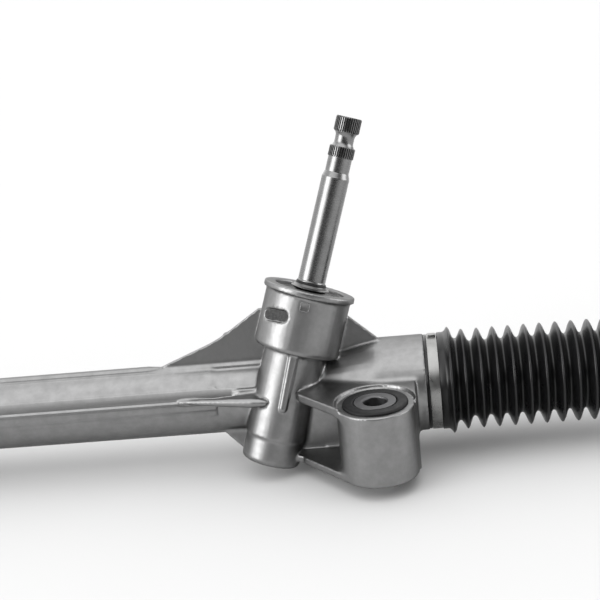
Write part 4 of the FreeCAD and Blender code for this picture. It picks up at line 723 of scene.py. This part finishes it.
bushSizes = {"half": 24.5, "bossHalf": 22.7, "hole": 7.25, "chamfer": 0.8, "sleeve": 10.0, "flange": 13.0,
             "thick": 2.2, "rubber": 17.0, "fit": 0.05, "rubberFlange": 20.3, "flangeGap": 0.5, "lipIn": 1.0,
             "lipDown": 0.3, "brimIn": 1.4, "brimOut": 0.3, "brimLow": 0.5, "brimHigh": 0.6}


def makeBush(side, sizes):
    half, boss, sleeve, flange = sizes["half"], sizes["bossHalf"], sizes["sleeve"], sizes["flange"]
    under = half - sizes["thick"]
    inner, wide = flange + sizes["flangeGap"], sizes["rubberFlange"]
    body, lip, brim = sizes["rubber"] - sizes["fit"], inner + sizes["lipIn"], wide - sizes["brimIn"]
    edge = wide - sizes["brimOut"]
    turnedPiece(side + "BushRubber",
                [(sleeve, -under), (inner, -under), (inner, -half + sizes["lipDown"]), (lip, -half),
                 (brim, -half), (edge, -half + sizes["brimLow"]), (wide, -boss), (body, -boss), (body, boss),
                 (wide, boss), (edge, half - sizes["brimHigh"]), (brim, half), (lip, half),
                 (inner, half - sizes["lipDown"]), (inner, under), (sleeve, under)],
                bushPlace[side], "housing", bushSkin, (side + "_bush_rubber",), 0.25)
    hole, chamfer = sizes["hole"], sizes["chamfer"]
    turnedPiece(side + "BushSleeve",
                [(hole + chamfer, -half), (flange, -half), (flange, -under), (sleeve, -under),
                 (sleeve, under), (flange, under), (flange, half), (hole + chamfer, half),
                 (hole, half - chamfer), (hole, -half + chamfer)],
                bushPlace[side], "housing", phosphateSkin, (side + "_bush_sleeve",), 0.3)


for side in ("right", "left"):
    makeBush(side, bushSizes)
print("bushes ready")

# Boot along the rack: places from the bush beside it, radii round the rack, a fold as steps from its crest
bootSizes = {"shoulder": 32.0, "bore": 27.7, "lip": 30.2, "lipEnd": 34.0, "seat": 29.6, "seatEnd": 40.6,
             "cuff": 31.0, "cuffEnd": 45.0, "edge": 0.3, "slope": 0.2, "cuffRound": 0.6,
             "firstCrestX": 47.5, "firstShift": 0.2, "firstCrest": 34.0, "firstValley": 26.3,
             "crest": 32.0, "valley": 24.0, "pitch": 10.0, "secondCrestX": 56.6, "count": 18, "straight": 10,
             "crestShape": ((1.5, 1.9), (0.75, 0.55), (0.25, 0.0)), "valleyShape": ((1.7, 1.5), (0.9, 0.4)),
             "endCrest": 23.0, "endValley": 17.0, "endShape": ((3.8, 13.4), (5.0, 11.8)), "wall": 1.6,
             "cuffX": 234.0, "neckLead": 1.2, "neckRadius": 10.7, "cuffLength": 9.0, "cuffFlat": 2.0,
             "cuffChamfer": 0.5, "cuffRadius": 10.2, "rod": 7.3, "seamOne": 171.6, "seamTwo": 211.6,
             "seamReach": 0.01, "rampLead": 1.0, "steps": 80}


def bootCrest(sizes, middle, crest):
    rising = [(middle - along, crest - down) for along, down in sizes["crestShape"]]
    falling = [(middle + along, crest - down) for along, down in reversed(sizes["crestShape"])]
    return rising + falling


def bootValley(sizes, middle, valley):
    falling = [(middle - along, valley + up) for along, up in sizes["valleyShape"]]
    rising = [(middle + along, valley + up) for along, up in reversed(sizes["valleyShape"])]
    return falling + [(middle, valley)] + rising


def bootOutline(sizes):
    edge, slope, bend = sizes["edge"], sizes["slope"], sizes["cuffRound"]
    outer = [(sizes["shoulder"], sizes["bore"]), (sizes["shoulder"], sizes["lip"] - edge),
             (sizes["shoulder"] + edge, sizes["lip"]), (sizes["lipEnd"] - slope, sizes["lip"]),
             (sizes["lipEnd"], sizes["seat"]), (sizes["seatEnd"], sizes["seat"]),
             (sizes["seatEnd"] + slope, sizes["cuff"] - edge), (sizes["seatEnd"] + bend, sizes["cuff"]),
             (sizes["cuffEnd"] - bend, sizes["cuff"]), (sizes["cuffEnd"], sizes["cuff"] + slope)]
    shift = sizes["firstShift"]
    outer += bootCrest(sizes, sizes["firstCrestX"] + shift, sizes["firstCrest"])
    between = (sizes["firstCrestX"] + sizes["secondCrestX"]) / 2 + shift
    outer += bootValley(sizes, between, sizes["firstValley"])
    for index in range(sizes["count"]):
        taper = max(0, index + 1 - sizes["straight"]) / (sizes["count"] - sizes["straight"])
        middle = sizes["secondCrestX"] + sizes["pitch"] * index
        outer += bootCrest(sizes, middle, sizes["crest"] - (sizes["crest"] - sizes["endCrest"]) * taper)
        if index < sizes["count"] - 1:
            valley = sizes["valley"] - (sizes["valley"] - sizes["endValley"]) * taper
            outer += bootValley(sizes, middle + sizes["pitch"] / 2, valley)
    last = sizes["secondCrestX"] + sizes["pitch"] * (sizes["count"] - 1)
    cuffX, radius, end = sizes["cuffX"], sizes["cuffRadius"], sizes["cuffX"] + sizes["cuffLength"]
    outer += [(last + along, reach) for along, reach in sizes["endShape"]]
    outer += [(cuffX - sizes["neckLead"], sizes["neckRadius"]), (cuffX, radius),
              (cuffX + sizes["cuffFlat"], radius), (end - sizes["cuffChamfer"], radius),
              (end, radius - sizes["cuffChamfer"])]
    return outer


def bootInside(sizes, x, radius):
    if x <= sizes["cuffEnd"]:
        return sizes["bore"]
    if x >= sizes["cuffX"]:
        return sizes["rod"]
    return max(radius - sizes["wall"], sizes["rod"])


def facesAt(bm, height):
    return [f for f in bm.faces if all(abs(v.co.z - height * mm) < 1e-5 for v in f.verts)]


# Three lengths, cut at the two seams, whose cut faces are left out; the bodies and ramps paired with each
# length are not used
def makeBoot(side, sizes):
    outer = bootOutline(sizes)
    bodies = [("housing", "rack"), ("rack", side + "_seat"), (side + "_seat", side + "_rod")]
    limits = [outer[0][0], sizes["seamOne"], sizes["seamTwo"], outer[-1][0]]
    ramps = [(sizes["cuffEnd"] + sizes["rampLead"], sizes["seamOne"]), (sizes["seamOne"], sizes["seamTwo"]),
             (sizes["seamTwo"], sizes["cuffX"])]
    for number, (pair, ramp) in enumerate(zip(bodies, ramps)):
        low, high = limits[number], limits[number + 1]
        near = sizes["seamReach"]
        span = [point for point in outer if low - near <= point[0] <= high + near]
        inside = [(x, bootInside(sizes, x, radius)) for x, radius in reversed(span)]
        bm = bmesh.new()
        spinProfile(bm, [(radius, x) for x, radius in span + inside], sizes["steps"])
        if number != 0:
            bmesh.ops.delete(bm, geom=facesAt(bm, low), context="FACES_ONLY")
        if number != 2:
            bmesh.ops.delete(bm, geom=facesAt(bm, high), context="FACES_ONLY")
        bmesh.ops.transform(bm, matrix=endPlace[side], verts=bm.verts)
        piece = addPiece("%sBoot%d" % (side, number + 1), bm, None, bootSkin,
                         (side + "_boot",), 70.0)
        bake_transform(piece)


# Band round the boot's cuff, with its closed ear on top
clampSizes = {"inner": 29.6, "thick": 0.9, "low": 34.1, "high": 40.5, "edgeIn": 0.1, "edgeAlong": 0.4,
              "earTall": 2.3, "earWide": 4.6, "earShorter": 1.0, "earTaper": 0.66, "earRise": 0.75,
              "earRound": 0.55, "steps": 96}


def makeLargeClamp(side, sizes):
    inner, outer = sizes["inner"], sizes["inner"] + sizes["thick"]
    low, high = sizes["low"], sizes["high"]
    face, along = outer - sizes["edgeIn"], sizes["edgeAlong"]
    bm = bmesh.new()
    spinProfile(bm, [(inner, low), (face, low), (outer, low + along), (outer, high - along), (face, high),
                     (inner, high)], sizes["steps"])
    upright = (endPlace[side].to_3x3().inverted() @ Vector((0, 0, 1))).normalized()
    sideways = Vector((0, 0, 1)).cross(upright)
    turn = Matrix((upright, sideways, Vector((0, 0, 1)))).transposed().to_4x4()
    ear = bmesh.ops.create_cube(bm, size=1.0)["verts"]
    length = high - low - sizes["earShorter"]
    bmesh.ops.scale(bm, vec=(sizes["earTall"] * mm, sizes["earWide"] * mm, length * mm), verts=ear)
    for vert in ear:
        if vert.co.x > 0:
            vert.co.y *= sizes["earTaper"]
    bmesh.ops.translate(bm, verts=ear, vec=((outer + sizes["earRise"]) * mm, 0, (low + high) / 2 * mm))
    edges = {e for v in ear for e in v.link_edges}
    shaped = bmesh.ops.bevel(bm, geom=list(edges), offset=sizes["earRound"] * mm, affect="EDGES", segments=3,
                             profile=0.5, material=-1)
    earVerts = list({v for f in shaped["faces"] for v in f.verts} | {v for v in ear if v.is_valid})
    bmesh.ops.transform(bm, matrix=turn, verts=earVerts)
    bmesh.ops.transform(bm, matrix=endPlace[side], verts=bm.verts)
    addPiece(side + "LargeClamp", bm, "housing", stripSkin, (side + "_large_clamp",), 35.0)


smallClamp = {"inner": 10.25, "outer": 11.4, "low": 236.0, "high": 241.0, "edgeIn": 0.2, "edgeAlong": 0.4}


def makeSmallClamp(side, sizes):
    inner, outer, low, high = sizes["inner"], sizes["outer"], sizes["low"], sizes["high"]
    face, along = outer - sizes["edgeIn"], sizes["edgeAlong"]
    turnedPiece(side + "SmallClamp",
                [(inner, low), (face, low), (outer, low + along), (outer, high - along), (face, high),
                 (inner, high)],
                endPlace[side], side + "_rod", stripSkin, (side + "_small_clamp",), 0.12, 64)


for side in ("right", "left"):
    makeBoot(side, bootSizes)
    makeLargeClamp(side, clampSizes)
    makeSmallClamp(side, smallClamp)
print("boots and clamps ready")

# Tie rod from its ball out: radii, and places from the bush beside it or, in the neck, from the ball
rodSizes = {"ball": 13.5, "arcSteps": 20, "centre": 136.5, "neck": 6.0, "neckEnd": 17.0, "flareEnd": 20.0,
            "flare": 0.3, "fullAt": 24.0, "rod": 7.0, "tip": 326.5, "tipLong": 1.0, "tipIn": 0.8,
            "flatLow": 246.5, "flatHigh": 258.5, "flatHalf": 5.8, "flatEdge": 0.4, "flatInset": 0.2,
            "threadLow": 264.5, "threadLead": 1.0, "pitch": 1.5, "threadDepth": 0.92, "threadStop": 1.6,
            "rootSunk": 0.05, "crestWorn": 0.08, "crestFrom": 0.62, "crestTo": 0.88, "threadSteps": 24,
            "steps": 64}


def rodOutline(sizes, root):
    centre, neck, rod, tip = sizes["centre"], sizes["neck"], sizes["rod"], sizes["tip"]
    low, high, edge = sizes["flatLow"], sizes["flatHigh"], sizes["flatEdge"]
    reach = math.sqrt(sizes["ball"] ** 2 - neck ** 2)
    start = math.acos(reach / sizes["ball"])
    turns = [start + (math.pi - start) * k / sizes["arcSteps"] for k in range(sizes["arcSteps"], -1, -1)]
    ballArc = [(sizes["ball"] * math.sin(turn), centre + sizes["ball"] * math.cos(turn)) for turn in turns]
    thread = sizes["threadLow"]
    return ballArc + [(neck, centre + sizes["neckEnd"]), (neck + sizes["flare"], centre + sizes["flareEnd"]),
                      (rod, centre + sizes["fullAt"]), (rod, low), (rod, low + edge), (rod, high - edge),
                      (rod, high), (rod, thread - sizes["threadLead"]), (root, thread),
                      (root, tip - sizes["tipLong"]), (root - sizes["tipIn"], tip), (0, tip)]


def addThread(bm, sizes, root):
    valley, crest = root - sizes["rootSunk"], sizes["rod"] - sizes["crestWorn"]
    tooth = [bm.verts.new((radius * mm, 0, (sizes["threadLow"] + rise) * mm))
             for radius, rise in ((valley, 0.0), (crest, sizes["crestFrom"]), (crest, sizes["crestTo"]),
                                  (valley, sizes["pitch"]))]
    edges = [bm.edges.new(pair) for pair in zip(tooth, tooth[1:])]
    steps = sizes["threadSteps"]
    total = int(steps * (sizes["tip"] - sizes["threadStop"] - sizes["threadLow"]) / sizes["pitch"])
    bmesh.ops.spin(bm, geom=tooth + edges, cent=(0, 0, 0), axis=(0, 0, 1), angle=2 * math.pi * total / steps,
                   dvec=(0, 0, sizes["pitch"] * mm / steps), steps=total, use_merge=False,
                   use_duplicate=False)


def makeTieRod(side, sizes):
    root = sizes["rod"] - sizes["threadDepth"]
    bm = bmesh.new()
    spinProfile(bm, rodOutline(sizes, root), sizes["steps"], closed=False)
    flatHalf, inset = sizes["flatHalf"] * mm, sizes["flatInset"]
    for vert in bm.verts:      # spanner flats on two sides
        if sizes["flatLow"] + inset < vert.co.z / mm < sizes["flatHigh"] - inset:
            vert.co.x = max(-flatHalf, min(flatHalf, vert.co.x))
    addThread(bm, sizes, root)
    bmesh.ops.remove_doubles(bm, verts=bm.verts, dist=2e-6)
    bmesh.ops.recalc_face_normals(bm, faces=bm.faces)
    bmesh.ops.transform(bm, matrix=endPlace[side], verts=bm.verts)
    addPiece(side + "TieRod", bm, side + "_rod", phosphateSkin, (side + "_tie_rod",), 32.0)


for side in ("right", "left"):
    makeTieRod(side, rodSizes)
    easedCopy(side + "JamNut", side + "_jam_nut", side + "_rod", zincSkin, 0.25)
easedCopy("yokeLockNut", "yoke_lock_nut", "housing", zincSkin, 0.4)
easedCopy("yokePlug", "yoke_adjuster_plug", "housing", zincSkin, 0.3)
print("rods and nuts ready")

insideSkins = {"rack_bar": rackSkin, "bearing_outer_race": bearingSkin, "bearing_inner_race": bearingSkin,
               "bearing_cage": acetalSkin, "bearing_balls": ballSkin, "bearing_circlip": springSkin,
               "lower_pinion_bush": bronzeSkin, "rack_yoke": castSkin, "yoke_liner": linerSkin,
               "yoke_o_ring": sealSkin, "yoke_spring": springSkin, "rack_bushing": acetalSkin,
               "bushing_retainer": springSkin, "right_joint_socket": phosphateSkin,
               "left_joint_socket": phosphateSkin, "right_ball_seat": acetalSkin,
               "left_ball_seat": acetalSkin}
for nodeName, skin in insideSkins.items():
    for place in nodes[nodeName].material_slots:
        place.material = skin
print("inside pieces dressed")

# Floor and base light, with lengths in metres
studio = {"floorHalf": 14.0, "floorDrop": 0.002, "floor": "#cbcbcb", "floorRough": 0.9, "worldBase": 0.50}


# Painted floor: matt and pale, without a gloss of its own
def makeFloor(sizes):
    lowest = min(corner[2] for corner in cadBox)
    bm = bmesh.new()
    bmesh.ops.create_grid(bm, x_segments=1, y_segments=1, size=sizes["floorHalf"])
    bmesh.ops.translate(bm, verts=bm.verts, vec=(0, 0, lowest - sizes["floorDrop"]))
    mesh = bpy.data.meshes.new("studioFloor")
    bm.to_mesh(mesh)
    bm.free()
    floor = bpy.data.objects.new("studioFloor", mesh)
    bpy.context.scene.collection.objects.link(floor)
    floorSkin = newMaterial("paintedFloor", {"Base Color": hexColour(sizes["floor"]),
                                             "Roughness": sizes["floorRough"], "Specular IOR Level": 0.0})[0]
    mesh.materials.append(floorSkin)


makeFloor(studio)

# Soft boxes and one black card, in degrees: right of the camera, above the floor, full power and edge
softBoxes = {
    "leftBox": {"side": -61.0, "high": 23.0, "core": 4.0, "edge": 28.0, "power": 4.4},
    "leftLowBox": {"side": -68.0, "high": 3.0, "core": 4.0, "edge": 24.0, "power": 3.2},
    "leftBackBox": {"side": -125.0, "high": 20.0, "core": 20.0, "edge": 55.0, "power": 0.7},
    "overheadBox": {"side": 0.0, "high": 74.0, "core": 20.0, "edge": 46.0, "power": 1.7},
    "backBox": {"side": 175.0, "high": 36.0, "core": 20.0, "edge": 55.0, "power": 1.1},
    "rightBox": {"side": 84.0, "high": 4.0, "core": 8.0, "edge": 34.0, "power": 3.4},
    "frontCard": {"side": 8.0, "high": 6.0, "core": 24.0, "edge": 56.0, "power": -0.42},
}
# The photo's view: place in metres, turns in radians, lens in millimetres on a 36 mm sensor
cameraSizes = {"at": (0.0273, -0.8280, 0.3638), "yaw": 0.0796, "pitch": 0.3158, "roll": -0.1056,
               "focal": 88.4, "sensor": 36.0, "nearest": 0.01, "furthest": 50.0}


def makeLight(boxes, base):
    world = bpy.data.worlds.new("softStudio")
    world.use_nodes = True
    bpy.context.scene.world = world
    tree = world.node_tree
    tree.nodes.clear()
    direction = addNode(tree, "ShaderNodeTexCoord").outputs["Generated"]
    total = addNode(tree, "ShaderNodeValue")
    total.outputs[0].default_value = base
    total = total.outputs[0]
    for box in boxes.values():
        side = cameraSizes["yaw"] + math.radians(box["side"])
        high = math.radians(box["high"])
        aim = (math.sin(side) * math.cos(high), -math.cos(side) * math.cos(high), math.sin(high))
        toward = addNode(tree, "ShaderNodeVectorMath", {"operation": "DOT_PRODUCT", 1: aim}, {0: direction})
        share = addNode(tree, "ShaderNodeMapRange", {"interpolation_type": "SMOOTHSTEP",
                                                     "From Min": math.cos(math.radians(box["edge"])),
                                                     "From Max": math.cos(math.radians(box["core"])),
                                                     "To Min": 0.0, "To Max": box["power"]},
                        {"Value": toward.outputs["Value"]}).outputs["Result"]
        total = addNode(tree, "ShaderNodeMath", {"operation": "ADD"}, {0: total, 1: share}).outputs[0]
    light = addNode(tree, "ShaderNodeBackground", {"Color": hexColour("#ffffff")}, {"Strength": total})
    addNode(tree, "ShaderNodeOutputWorld", None, {"Surface": light.outputs["Background"]})


def makeCamera(sizes):
    yaw, pitch, roll = sizes["yaw"], sizes["pitch"], sizes["roll"]
    back = Vector((math.sin(yaw) * math.cos(pitch), -math.cos(yaw) * math.cos(pitch), math.sin(pitch)))
    right = Vector((math.cos(yaw), math.sin(yaw), 0))
    up = back.cross(right)
    turned = right * math.cos(roll) + up * math.sin(roll)
    raised = up * math.cos(roll) - right * math.sin(roll)
    lens = bpy.data.cameras.new("photoCamera")
    lens.sensor_width = sizes["sensor"]
    lens.lens = sizes["focal"]
    lens.clip_start, lens.clip_end = sizes["nearest"], sizes["furthest"]
    camera = bpy.data.objects.new("photoCamera", lens)
    camera.matrix_world = (Matrix.Translation(sizes["at"])
                           @ Matrix((turned, raised, back)).transposed().to_4x4())
    bpy.context.scene.collection.objects.link(camera)
    bpy.context.scene.camera = camera


makeLight(softBoxes, studio["worldBase"])
makeCamera(cameraSizes)
bpy.context.scene.view_settings.view_transform = "Standard"
print("studio ready")
